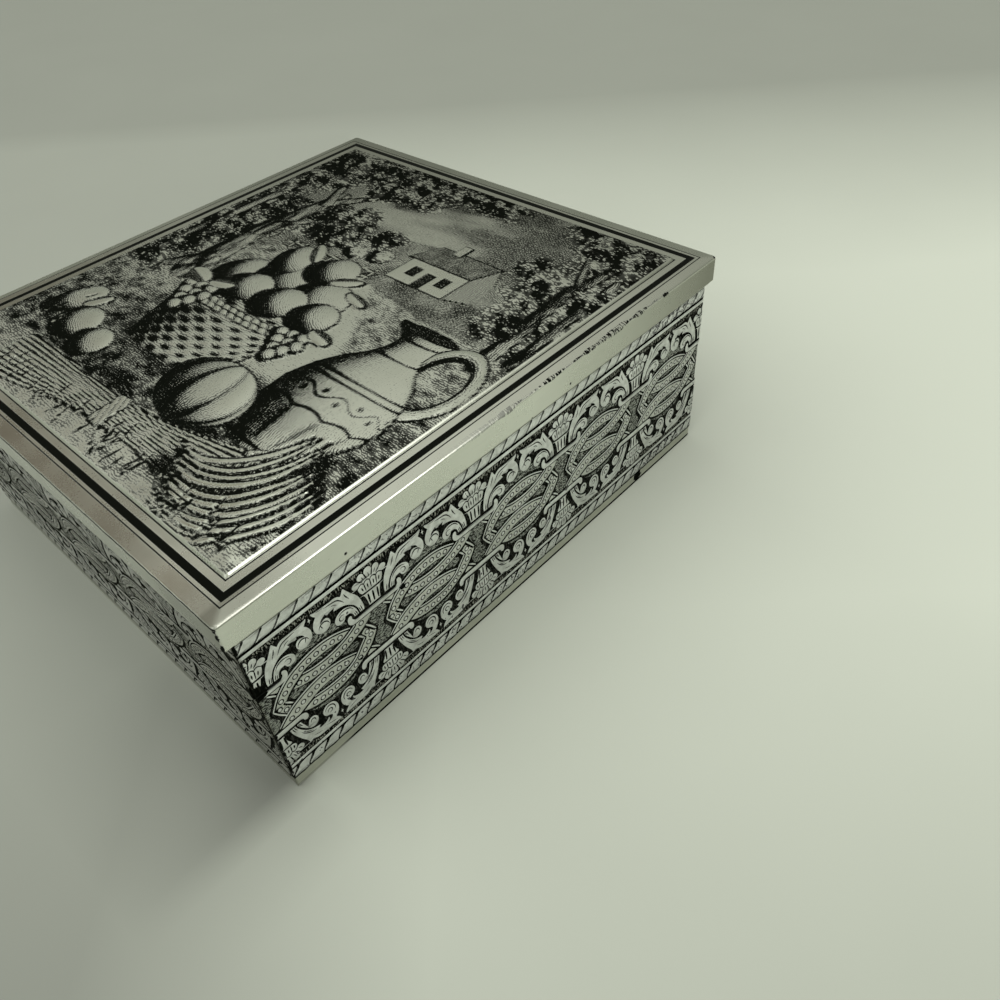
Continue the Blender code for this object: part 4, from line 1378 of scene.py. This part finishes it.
def clouds(size, seed, x=X, y=Y, layers=3):
    """Smooth noise from 0 to 1, with spots of about this size in mm."""
    table = np.random.default_rng(seed).random((CLOUD_SPOTS, CLOUD_SPOTS))
    total = 0
    for layer in range(layers):
        u, v = x / size + 50.3, y / size + 50.7
        i, j = np.floor(u).astype(int), np.floor(v).astype(int)
        a, b = soft_step(u - i, 0, 1), soft_step(v - j, 0, 1)
        (left, low), (right, high) = [(n % CLOUD_SPOTS, m % CLOUD_SPOTS) for n, m in ((i, j), (i + 1, j + 1))]
        near = table[left, low] * (1 - a) + table[right, low] * a
        far = table[left, high] * (1 - a) + table[right, high] * a
        total = total + (near * (1 - b) + far * b) * 0.5**layer
        size /= 2
    return total / sum(0.5**layer for layer in range(layers))


def lit(nx, ny=0.0):
    """Tone of a rounded form, from its two slopes; the light comes from the upper right."""
    nz = np.sqrt(np.clip(1 - nx**2 - ny**2, 0, 1))
    light = 0.50 * nx + 0.42 * ny + 0.76 * nz
    return 0.10 + 0.87 * (1 - soft_step(light, 0.06, 1.12))


class Drawing:
    """What is drawn so far: how raised, how dark, and the distances that the strokes follow."""

    def __init__(self):
        self.rise, self.tone, self.leafy = np.zeros((3, len(X)))
        self.along = Y.copy()
        self.across = X + Y

    def shade(self, tone):
        """Darkens what lies under a form, where this tone is darker."""
        self.tone = np.maximum(self.tone, tone)

    def lay(self, distance, tone, rise, along=None, across=None,
            edge=0.4, ink=0.95, leafy=0.0, soft=0.7):
        """Lays a form over the rest. The distance is in mm and negative inside the form."""
        inside = np.clip(0.5 - distance / soft, 0, 1)
        fringe = np.clip(0.5 - (distance - soft / 2) / 0.7, 0, 1)
        self.leafy = self.leafy * (1 - fringe) + leafy * fringe
        self.rise = self.rise * (1 - inside) + rise * inside
        self.tone = self.tone * (1 - inside) + tone * inside
        if edge:
            self.shade(ink * np.clip(1.3 - np.abs(distance + 0.1) / edge, 0, 1))
        for name, phase in (("along", along), ("across", across)):
            if phase is not None:
                setattr(self, name, np.where(inside > 0.5, phase, getattr(self, name)))


def round_form(cx, cy, rx, ry, turn=0.0):
    """Distance to an ellipse, its slopes, and its height as a part of 1."""
    c, s = cos(radians(turn)), sin(radians(turn))
    u, v = ((X - cx) * c + (Y - cy) * s) / rx, ((Y - cy) * c - (X - cx) * s) / ry
    q = np.hypot(u, v)
    nx, ny = (u * c - v * s) * 0.95, (u * s + v * c) * 0.95
    return (q - 1) * min(rx, ry), nx, ny, np.clip(1 - q**2.6, 0, 1)


def stick(x0, y0, x1, y1, w0, w1):
    """Distance to a tapered stick, and the place along it from 0 to 1."""
    dx, dy = x1 - x0, y1 - y0
    t = np.clip(((X - x0) * dx + (Y - y0) * dy) / (dx * dx + dy * dy), 0, 1)
    return np.hypot(X - x0 - t * dx, Y - y0 - t * dy) - (w0 + (w1 - w0) * t) / 2, t


def convex(*corners):
    """Distance to a shape with straight sides; its corners go round anticlockwise."""
    worst = np.full_like(X, -1e9)
    for (x0, y0), (x1, y1) in zip(corners, corners[1:] + corners[:1]):
        length = hypot(x1 - x0, y1 - y0)
        worst = np.maximum(worst, ((X - x0) * (y1 - y0) - (Y - y0) * (x1 - x0)) / length)
    return worst


def oblong(x, y, w, h):
    return convex((x, y), (x + w, y), (x + w, y + h), (x, y + h))


art = Drawing()
print("drawing helpers for the picture")

# %% [markdown]
# ### Sky, hills and cottage
# The far things come first and lie nearly flat. Their strokes are level or follow the slopes.

# %% Sky, hills and cottage
banks = clouds(30, 3, X * 0.55 + Y * 0.35, Y * 1.5 - X * 0.35, layers=4)
art.tone = 0.30 + 0.36 * soft_step(banks, 0.40, 0.66)
art.tone = art.tone + 0.05 * soft_step(Y, 60, 98) + 0.30 * soft_step(-X, 5, 60)
art.rise = 0.25 * soft_step(banks, 0.45, 0.6)
art.along = Y + 3 * banks
art.across = Y * 0.8 + X * 0.6
far_hill = 44 + 7 * np.sin(X / 24 + 0.6) + 1.2 * (clouds(9, 5) - 0.5)
art.lay(Y - far_hill, 0.42 + 0.3 * clouds(8, 6), 0.25, Y - 0.5 * far_hill + X * 0.25, edge=0.3, ink=0.6)
near_hill = 30 + 8 * np.sin(X / 33 - 1.1) + 1.5 * (clouds(7, 8) - 0.5)
art.lay(Y - near_hill, 0.44 + 0.4 * clouds(10, 9), 0.45, Y - near_hill - X * 0.2, edge=0.35, ink=0.7)
for i, x in enumerate((-24, -17, -9, 2, 66, 72)):
    bush, nx, ny, dome = round_form(x, 30 + 3 * (i % 2) + (14 if x > 50 else 0), 5.5, 4.6)
    leafy = 1.6 * (clouds(2.6, 20 + i) - 0.5)
    tone = lit(nx, ny) * 0.7 + 0.45 * clouds(2.2, 30 + i)
    art.lay(bush + leafy, tone, 0.5 * dome, edge=0, leafy=0.8, soft=1.5)
art.lay(oblong(14, 25, 29, 16), 0.10 + 0.2 * soft_step(clouds(3, 41), 0.5, 0.7), 0.7, Y)
art.lay(convex((43, 25), (53, 28), (53, 42), (48, 52), (43, 41)), 0.5, 0.65, X)
roof = convex((11, 40), (43, 40), (48.5, 52.5), (17, 52.5))
art.lay(roof, 0.55 + 0.2 * clouds(3, 42), 0.85, X - Y * 0.4, Y, edge=0.45)
art.lay(oblong(24, 50, 4.5, 8), 0.35, 0.9, Y)
for opening in ((19, 30, 4.5, 6), (34, 30, 4.5, 6), (26.5, 25, 4.5, 10)):
    art.lay(oblong(*opening), 0.8, 0.5, X, edge=0.35)
for i in range(9):
    post, _ = stick(-34 + 5.4 * i, 13 + 0.4 * i, -34 + 5.4 * i, 22.5 + 0.4 * i, 1.5, 1.3)
    art.lay(post, 0.15, 0.7, X, edge=0.35)
for level in (16.5, 20.5):
    rail, _ = stick(-37, level, 12, level + 3.6, 1.2, 1.2)
    art.lay(rail, 0.2, 0.6, Y, edge=0.3)
print("sky, hills, cottage and fence")

# %% [markdown]
# ### Ground and trees
# Foliage is a sum of clumps with noise on its edge. A shift of the same noise towards the light
# shows which side of each leaf cluster is bright.

# %% Ground and trees
meadow = 15 + 3.5 * np.sin(X / 21 + 2) + 2 * (clouds(8, 50) - 0.5)
depth = soft_step(-Y, -10, 98)
ground = 0.50 + 0.2 * depth - 0.30 * soft_step(-Y, 72, 94) + 0.5 * (clouds(5, 51, X, Y * 1.8) - 0.5)
ground += 0.25 * (clouds(2, 52) - 0.5)
path = np.abs(X - 8 + 14 * np.sin(Y / 22) - 8) - 9 - 0.1 * (20 - Y)
ground = ground * (1 - 0.6 * (1 - soft_step(path, -3, 4)) * soft_step(Y, -60, -30)) + 0.04
humps = clouds(12, 53)
art.lay(Y - meadow, ground, 0.3 + 0.7 * humps, Y * 0.9 + 3 * humps, X * 0.5 + Y, edge=0, leafy=0.35)


def foliage(clumps, seed, rise, dark, leaf=3.4):
    """Leafy clumps, each given as (x, y, radius)."""
    bulk = np.full_like(X, -9.0)
    for cx, cy, r in clumps:
        bulk = np.maximum(bulk, 1 - np.hypot(X - cx, (Y - cy) * 1.15) / r)
    rough, broad = [clouds(9, seed, X + shift, Y + shift) - 0.5 for shift in (0, 3)]
    leaves, away = [clouds(leaf, seed + 1, X + shift, Y + shift, 2) - 0.5 for shift in (0, 0.9)]
    body = bulk + 0.95 * rough + 0.7 * leaves
    shade = dark + 0.7 * (away - leaves) + 0.9 * (broad - rough)
    art.lay(-body * 7, np.clip(shade, 0.2, 0.97), rise * soft_step(body, 0, 0.5) + 0.9 * leaves + 0.2,
            X * 0.7 + Y + 4 * rough, X - Y * 0.6, edge=0, leafy=1.0, soft=3.0)


foliage([(84, 44, 19), (70, 56, 13), (88, 72, 18), (74, 34, 12), (88, 22, 16), (62, 92, 11), (78, 92, 15),
         (66, 44, 10)], 60, 0.6, 0.64)
foliage([(-74, 34, 22), (-84, 18, 18), (-60, 24, 14), (-36, 34, 11), (-20, 40, 9), (-72, 6, 16),
         (-80, -14, 15), (-44, 46, 10), (-6, 44, 7), (56, 60, 7)], 64, 0.6, 0.77)
TRUNKS_AND_BRANCHES = [      # from and to (x, y), width at each end
    (80, 4, 76, 56, 7, 5.5), (76, 54, 84, 97, 5.5, 4), (76, 60, 62, 90, 3, 1.2), (88, 10, 86, 70, 4, 3),
    (-80, 0, -77, 62, 6, 4.5), (-52, -16, -55, 20, 15, 10.5), (-55, 20, -50, 58, 10.5, 8),
    (-50, 50, -24, 82, 6, 2), (-50, 50, -66, 84, 6, 2), (-54, 26, -30, 46, 3.6, 1.4),
    (-36, 66, -8, 78, 2.6, 1.0), (-63, -18, -55, -8, 6, 9), (-42, -19, -51, -8, 5, 9),
]
bark = clouds(2.0, 70, X, Y * 0.25)
for x0, y0, x1, y1, w0, w1 in TRUNKS_AND_BRANCHES:
    wood, t = stick(x0, y0, x1, y1, w0, w1)
    across = (X - x0) * (y1 - y0) - (Y - y0) * (x1 - x0)
    across = across / hypot(x1 - x0, y1 - y0) / ((w0 + (w1 - w0) * t) / 2)
    shade = lit(np.clip(across, -1, 1) * 0.9) * 0.6 + 0.9 * (bark - 0.25) + 0.26
    art.lay(wood, np.clip(shade, 0.04, 0.95), 1.1 * bulge(across) + 0.5 * bark, X + Y * 0.08, Y, edge=0.35)
foliage([(-74, 84, 22), (-52, 92, 20), (-30, 88, 19), (-10, 92, 15), (10, 94, 13), (-86, 62, 15),
         (-38, 74, 10), (-66, 70, 10), (-14, 76, 8), (-26, 50, 9), (86, 84, 13), (68, 84, 9),
         (54, 94, 8), (70, 22, 8), (88, 56, 9), (-72, 14, 10), (-86, -4, 10)], 74, 0.7, 0.74)
print("ground and trees")

# %% [markdown]
# ### Basket, fruit and jug
# These forms stand highest. They are smooth and nearly free of strokes on the lit side, so they shine.


# %% Basket and fruit
def fruit(cx, cy, rx, ry, seed, turn=0.0, rise=1.0, base=1.3):
    """A rounded fruit with strokes that curve round it."""
    shade, _, _, _ = round_form(cx - 0.16 * rx, cy - 0.2 * ry, rx * 1.04, ry * 1.04, turn)
    art.shade(0.9 * soft_step(-shade, -1.2, 0.6))
    distance, nx, ny, dome = round_form(cx, cy, rx, ry, turn)
    bend = np.hypot(X - cx - 1.2 * rx, Y - cy - 1.2 * ry)
    tone = lit(nx, ny) + 0.10 * (clouds(2.5, 80 + seed) - 0.5)
    art.lay(distance, tone, base + rise * dome, bend, X - Y, edge=0.42)


def leaf(cx, cy, length, turn, width=0.42):
    """A broad leaf with a bright middle vein."""
    distance, _, _, dome = round_form(cx, cy, length / 2, length / 2 * width, turn)
    c, s = cos(radians(turn)), sin(radians(turn))
    u, v = (X - cx) * c + (Y - cy) * s, (Y - cy) * c - (X - cx) * s
    tone = 0.45 + 0.3 * np.sign(v) - 0.5 * np.exp(-((v / 0.45) ** 2))
    art.lay(distance, np.clip(tone, 0.03, 0.95), 1.6 + 0.5 * dome, u + np.abs(v), v, edge=0.35)


shadow, _, _, _ = round_form(6, -52, 62, 13)
art.shade(0.74 * soft_step(-shadow, -3, 5))
basket_x, rim_y, half = -10.0, -17.0, 33.0      # the basket's middle, its rim and half its width there
fall = np.clip((rim_y - Y) / 34, 0, 1)
width = half * (1 - 0.30 * fall**1.4)
side = np.abs(X - basket_x) - width
foot = rim_y - 36 - 4 * bulge((X - basket_x) / 26) - Y
basket = np.maximum(np.maximum(side, foot), Y - rim_y)
round_x = (X - basket_x) / width
rows = (rim_y - Y - 5 * bulge(round_x)) / 3.4
stave = np.arcsin(np.clip(round_x, -1, 1)) * 5.4
weave = np.cos(pi * rows) * np.cos(pi * stave)
tone = 0.72 * lit(round_x * 0.9) + 0.24 - 0.34 * weave + 0.3 * np.abs(np.cos(pi * rows)) ** 6
art.lay(basket, np.clip(tone, 0.03, 0.95), 1.0 + 1.2 * bulge(round_x) + 0.35 * weave, rows * 2.6, X,
        edge=0.45)
fruit(-30, -6, 11.5, 11, 1)
fruit(-12, 3, 12.5, 12, 2, base=1.2)
fruit(9, -1, 12, 11.5, 3)
fruit(-2, 15, 10, 9.5, 4, base=1.1)
fruit(-22, 12, 7.5, 11, 5, turn=25, base=1.1)
leaf(-18, 20, 15, 130)
leaf(8, 12, 14, 35)
leaf(20, 6, 13, -15)
fruit(-20, -11, 10, 9, 6, base=1.5)
fruit(-1, -11, 10.5, 9.5, 7, base=1.6)
fruit(17, -10, 9, 8.5, 8, base=1.5)
for level, offset in ((-18.5, 0.0), (-21.2, 0.5)):
    sag = level - 6.5 * bulge((X - basket_x) / (half + 2))
    cord = np.maximum(np.abs(Y - sag) - 1.55, np.abs(X - basket_x) - half - 1)
    twist = np.cos(2 * pi * ((X - basket_x) / 4.2 + (Y - sag) / 6 + offset))
    art.lay(cord, np.clip(0.32 - 0.42 * twist, 0.03, 0.9), 2.3 + 0.35 * twist, X + Y, edge=0.45)
GRAPES = [(0, 0), (5.6, 0.6), (-5.2, -0.8), (2.8, -4.6), (-2.6, -5.2), (7.6, -4.0), (0.3, -9.4),
          (5.2, -8.8), (2.6, -13.2)]
for i, (dx, dy) in enumerate(GRAPES):
    fruit(-36 + dx, -22 + dy, 3.4, 3.4, 20 + i, rise=0.8, base=1.9)
    fruit(19 + dx * 0.9, -22 + dy * 0.9, 3.1, 3.1, 40 + i, rise=0.8, base=2.0)
leaf(-43, -17, 14, 165, 0.6)
leaf(-30, -16, 12, 20, 0.55)
leaf(28, -17, 12, -10, 0.55)
print("basket and fruit")

# %% Jug
JUG_LEVELS = [-66, -64.5, -61, -55, -46, -36, -26, -18, -12, -6, -1, 3, 5.5, 7]
JUG_HALVES = [13.5, 14.5, 14.5, 18.5, 22.5, 23.5, 21, 16.5, 11.5, 8.6, 8.2, 9.6, 11.6, 12.0]
JUG_X = 58.0
ring = np.hypot((X - JUG_X - 19) / 10.5, (Y + 11) / 17)
handle = np.abs(ring - 1) * 11 - 2.3
art.lay(handle, lit(np.clip((ring - 1) * 4.5, -1, 1)), 1.5 + 0.7 * soft_step(-handle, 0, 2), ring * 10, Y,
        edge=0.45)
half = np.interp(Y, JUG_LEVELS, JUG_HALVES)
spout = 3.2 * soft_step(Y, 0, 7) * (X < JUG_X)
top = Y - 7 - 0.12 * (JUG_X - X)
foot = -66 - 1.6 * bulge((X - JUG_X) / 15) - Y
jug = np.maximum(np.abs(X - JUG_X) - half - spout, np.maximum(top, foot))
round_x = np.clip((X - JUG_X) / half, -1, 1)
slope = np.gradient(np.array(JUG_HALVES), np.array(JUG_LEVELS))
lean = np.interp(Y, JUG_LEVELS, slope)
tone = lit(round_x * 0.93, -0.5 * lean * np.sqrt(1 - round_x**2)) * 0.92
bands = np.zeros_like(X)
for level in (-62.5, -27.5, -24.5, -8.5, 2.0):
    ring_y = level - 2.2 * bulge(round_x)
    bands = np.maximum(bands, np.exp(-(((Y - ring_y) / 0.55) ** 2)))
turned = np.arcsin(round_x)
level = Y + 2.2 * np.sqrt(1 - round_x**2)
folds = np.abs(np.cos(turned * 5))
scallop = -43.5 + 1.8 * folds
flute = folds * soft_step(-level, 42, 47) * soft_step(level, -62, -57)
bands = np.maximum(bands, np.exp(-(((level - scallop) / 0.6) ** 2)))
sprig = np.abs(level + 34.2 - 1.9 * np.sin(turned * 9))
leaflet = np.hypot(level + 34.2 + 1.6 * np.sin(turned * 9), 3.2 * np.cos(turned * 9)) - 1.5
bands = np.maximum(bands, 0.8 * np.exp(-((sprig / 0.5) ** 2)))
bands = np.maximum(bands, 0.7 * soft_step(-leaflet, -0.3, 0.5))
gully = (1 - flute) ** 3 * soft_step(-level, 43, 47) * soft_step(level, -62, -58)
tone = np.clip(tone + 0.7 * bands + 0.45 * gully, 0.02, 0.95)
swell = 1.3 + 2.1 * bulge(round_x) * half / 24
art.lay(jug, tone, swell - 0.25 * bands + 0.45 * flute, np.hypot(X - JUG_X - 40, (Y + 30) * 0.5), X,
        edge=0.5)
mouth, _, _, _ = round_form(JUG_X - 1.2, 6.6, 12.4, 3.0)
art.lay(mouth, 0.85, 1.2, Y, X, edge=0.5)
print("jug")

# %% [markdown]
# ### Sheaf of wheat and melon
# The sheaf lies across the front. It is drawn along its own axis, narrow where it is tied, and its
# straws are waves across it. A fan of bent blades lies before it.

# %% Sheaf, blades and melon
SHEAF_X, SHEAF_Y = 8, -82
turn = radians(4)
s = (X - SHEAF_X) * cos(turn) + (Y - SHEAF_Y) * sin(turn)
t = (Y - SHEAF_Y) * cos(turn) - (X - SHEAF_X) * sin(turn)
spread = 6.2 + 4.2 * soft_step(-s, 8, 60) + 7.5 * soft_step(s, 6, 70)
u = t / spread
straws = np.cos(2 * pi * (5.5 * u + 1.6 * (clouds(20, 90, s * 0.35, t) - 0.5)))
ends = 6 * (clouds(1.6, 91, t * 2, t) - 0.5)
sheaf = np.maximum(np.abs(t) - spread, np.maximum(-s - 66 + ends, s - 62 + ends))
tone = 0.40 - 0.55 * straws + 0.25 * np.abs(u) + 0.2 * (clouds(3, 92, s * 0.3, t) - 0.5)
art.lay(sheaf, np.clip(tone, 0.02, 0.95), 1.0 + 0.9 * bulge(u) + 0.65 * straws, t, s)
rng = np.random.default_rng(5)
for i in range(22):
    share = (i % 11) / 5 - 1
    start = 54 + 14 * rng.random()
    ex = SHEAF_X + start * cos(turn) - share * 14 * sin(turn)
    ey = SHEAF_Y + start * sin(turn) + share * 13 * cos(turn)
    angle = 2 + 20 * share + 6 * rng.random()
    ear, nx, ny, dome = round_form(ex, ey, 8.5, 2.5, angle)
    c, sn = cos(radians(angle)), sin(radians(angle))
    a, b = (X - ex) * c + (Y - ey) * sn, (Y - ey) * c - (X - ex) * sn
    kernels = np.cos(2 * pi * (a / 2.6 + 0.3 * np.abs(b)))
    tone = np.clip(0.28 - 0.4 * kernels + 0.3 * (b < 0), 0.02, 0.9)
    art.lay(ear, tone, 1.7 + 0.9 * dome + 0.25 * kernels, a, b, edge=0.3)


def blade_of(points, width, base, seed):
    """A long bent blade: bright on one side of its middle rib, dark on the other."""
    line = smooth_line(points, 4)
    nearest, side, run = np.full_like(X, 1e9), np.zeros_like(X), np.zeros_like(X)
    for i, (start, end) in enumerate(zip(line, line[1:])):
        share = i / (len(line) - 1)
        gap = stick(*start, *end, 0.0, 0.0)[0] + width / 2 * (2 * share - 1) ** 4
        turn_left = (X - start[0]) * (end[1] - start[1]) - (Y - start[1]) * (end[0] - start[0])
        closer = gap < nearest
        nearest = np.where(closer, gap, nearest)
        side = np.where(closer, np.sign(turn_left), side)
        run = np.where(closer, share * 40, run)
    u = nearest / (width / 2)
    tone = 0.02 + 0.75 * (side > 0) * np.clip(u, 0, 1) + 0.2 * (clouds(2.5, seed) - 0.5)
    art.lay(nearest - width / 2, np.clip(tone, 0.0, 0.9), base + 1.25 * bulge(u), nearest * side, run,
            edge=0.45, ink=1.0)


INNER_BLADE = np.array([(34, -76), (48, -77), (59, -72), (66, -62), (69, -48)])
OUTER_BLADE = np.array([(50, -96), (67, -98), (80, -93), (87, -81), (89, -62)])
fan = smooth_line([tuple(p) for p in (INNER_BLADE + OUTER_BLADE) / 2], 4)
under = np.min([stick(*a, *b, 17.0, 14.0)[0] for a, b in zip(fan, fan[1:])], axis=0)
art.shade(0.82 * soft_step(-under, -3, 7))
for i in range(10):
    share = i / 9
    points = INNER_BLADE * (1 - share) + OUTER_BLADE * share + rng.uniform(-0.7, 0.7, (5, 2))
    points[-1, 1] += rng.uniform(-9, 3)
    blade_of([tuple(p) for p in points], 1.9 + 0.9 * rng.random(), 0.7 + 0.3 * (i % 2), 110 + i)
band = np.maximum(np.abs(s + 2) - 3.4, np.abs(t) - spread - 0.8)
weave = np.cos(2 * pi * (s / 2.2 + 0.25 * t))
art.lay(band, np.clip(0.35 - 0.4 * weave, 0.03, 0.9), 2.3 + 0.25 * weave, s, t, edge=0.45)
MELON_X, MELON_Y, MELON_LONG, MELON_WIDE = 22.0, -58.0, 20.0, 15.5
melon, nx, ny, dome = round_form(MELON_X, MELON_Y, MELON_LONG, MELON_WIDE, -8)
girth = np.sqrt(np.clip(1 - ((Y - MELON_Y) / MELON_WIDE) ** 2, 0.05, 1))
rib = np.arcsin(np.clip((X - MELON_X) / MELON_LONG / girth, -1, 1))
ribs = np.abs(np.cos(rib * 4.5))
tone = np.clip(lit(nx, ny) * 0.9 + 0.55 * (1 - ribs) ** 2, 0.02, 0.95)
art.lay(melon, tone, 1.4 + 1.3 * dome + 0.35 * ribs, rib * 14, Y, edge=0.5)
fruit(-52, -62, 9.5, 9, 60, base=1.0, rise=1.3)
fruit(-68, -54, 8, 11.5, 61, turn=-35, base=0.9, rise=1.3)
fruit(-36, -66, 8.2, 7.8, 62, base=1.2, rise=1.2)
leaf(-58, -51, 12, 60, 0.5)
for i in range(70):
    x, y = -86 + 175 * rng.random(), -97 + 9 * rng.random()
    if i % 3 == 0:
        x, y = -84 + 24 * rng.random(), -80 + 70 * rng.random()
    blade, _ = stick(x, y, x + 5 * (rng.random() - 0.5), y + 4 + 5 * rng.random(), 1.1, 0.2)
    art.lay(blade, 0.05 + 0.5 * (i % 2), 0.9, X, edge=0.3)
print("sheaf, blades, melon and grass")

# %% [markdown]
# ### From drawing to relief
# The pressed sheet starts at the foot of its step, climbs to the plateau and swells a little to the
# middle. The drawing's height is added to that. The sheet is closed underneath, just above the
# solid lid that carries it.

# %% Relief
STEP_RUN, STEP_RISE = 1.6, 1.03        # the closed underside: its step, then its swelling
SWELL_RUN, SWELL_RISE = 24.0, 0.80
DRAWN_RISE = 0.62                      # height of a form whose rise is 1 in the drawing
inward = np.minimum(np.minimum(X - left_edge, right_edge - X), np.minimum(Y - front_edge, back_edge - Y))
plateau = LID_TOP + np.clip(inward / 0.35, 0, 1) + SWELL_RISE * np.clip((inward - 1) / SWELL_RUN, 0, 1)
lift = 0.04 + 0.12 * soft_step(inward, 0, 1.2)
Z = plateau + lift + DRAWN_RISE * art.rise * soft_step(inward, 1.0, 4.5)
move_points(picture, np.stack([X, Y, Z], axis=1) * MM)


def keep_values(name, kind, key, values):
    """Stores the values on the picture's points, for the material to read."""
    kept = picture.data.attributes.new(name, kind, "POINT")
    kept.data.foreach_set(key, values.astype(np.float32).ravel())


keep_values("engraving", "FLOAT_VECTOR", "vector", np.stack([art.along, art.across, art.tone], axis=1))
keep_values("leafy", "FLOAT", "value", art.leafy)
with editing(picture):
    bpy.ops.mesh.region_to_loop()
    for inset, rise in ((STEP_RUN, STEP_RISE), (SWELL_RUN, SWELL_RISE)):
        bpy.ops.mesh.extrude_edges_move(TRANSFORM_OT_translate={"value": (0, 0, rise * MM)})
        now_x, now_y = [half - (0 if inset == STEP_RUN else STEP_RUN) for half in (half_x, half_y)]
        scale = ((now_x - inset) / now_x, (now_y - inset) / now_y, 1)
        bpy.ops.transform.resize(value=scale, center_override=picture_middle * MM)
    bpy.ops.mesh.edge_face_add()
    bpy.ops.mesh.select_all(action="SELECT")
    bpy.ops.mesh.normals_make_consistent(inside=False)
bpy.ops.object.shade_smooth_by_angle(angle=radians(70))
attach(picture, "tin_lid")
print("relief from", round(Z.min(), 2), "to", round(Z.max(), 2), "mm,", triangles(picture), "triangles")

# %% [markdown]
# ### Engraving
# The strokes are waves of the two stored distances. Where the drawing is darker the dark part of a
# wave is wider, and in the darkest places a second set crosses the first. Fine noise breaks both up
# into dots and short dashes.

# %% Engraving
engraved_finish, shader, point = new_finish("engraved_picture")
tree = point.id_data
stored = add(tree, "Attribute", {}, attribute_name="engraving").outputs["Vector"]
along, across, tone = [axis(stored, number) for number in range(3)]
leafy = add(tree, "Attribute", {}, attribute_name="leafy").outputs["Fac"]
wander = noise(point, 420.0, 1.0)
dots = ramp(noise(point, 2300.0, 2.0), 0.3, 0.7)


def strokes_of(phase, pitch, share):
    """Values from 0 to 1 that run in waves of this pitch in mm, broken up by dots."""
    wave = sine(times(plus(phase, times(wander, 1.6)), 2 * pi / pitch))
    wave = plus(times(wave, 0.5 * (1 - share)), 0.5 * (1 - share))
    return plus(wave, times(dots, share))


def leaf_cells(per_metre, turn):
    """Values from 0 to 1 in cells of a leaf's shape, lower towards the edge of each cell."""
    turned = squeezed(point, (per_metre, per_metre * 1.9, 0), (0, 0, turn))
    cells = add(tree, "TexVoronoi", {"Vector": turned, "Scale": 1.0}, voronoi_dimensions="2D").outputs
    shade = add(tree, "SeparateColor", {0: cells["Color"]}).outputs[0]
    return plus(times(shade, 0.85), ramp(cells["Distance"], 0.25, 0.75, 0.12, -0.5))


leaves = most(leaf_cells(520.0, 0.5), leaf_cells(720.0, -0.9))
leaves = plus(times(leaves, 0.8), times(dots, 0.2))
first = blend_value(leafy, strokes_of(along, 0.82, 0.55), leaves)
ink = plus(times(minus(tone, first), ramp(leafy, 0.0, 1.0, 4.5, 9.0)), 0.5, clamp=True)
deep = times(minus(tone, 0.42), 1.7)
crossed = plus(times(minus(deep, strokes_of(across, 0.98, 0.5)), 4.5), 0.5, clamp=True)
ink = most(ink, times(crossed, minus(1.0, leafy)))
ink = plus(times(ink, 0.70), times(tone, 0.40), clamp=True)
ink = times(ink, ramp(frame_distance(point, PICTURE_FOOT), 0.45 * MM, 0.65 * MM))
# The lid top's painted shade darkens the picture too.
plate_look(shader, point, ink, rough=(0.24, 0.36), painted_shade_mask=top_painted_shade(point))
coat(picture, engraved_finish)
print("engraving strokes")

# %% [markdown]
# ## Plain metal parts
# The base and the straps are bare plate, and the hinge wire is drawn steel.

# %% Bare plate and wire
bare_finish, shader, point = new_finish("bare_plate")
plate_look(shader, point, bright=BARE, dull=BARE_DULL, rough=(0.28, 0.44), bump=0.03)
wire_finish, shader, point = new_finish("drawn_wire")
plate_look(shader, point, bright=(0.56, 0.56, 0.54, 1), dull=(0.38, 0.38, 0.36, 1), rough=(0.25, 0.4),
           bump=0.01)
for name in ("base_panel", "hinge_strap_left", "hinge_strap_right"):
    coat(nodes[name], bare_finish)
coat(nodes["hinge_wire"], wire_finish)
print("bare plate and wire")
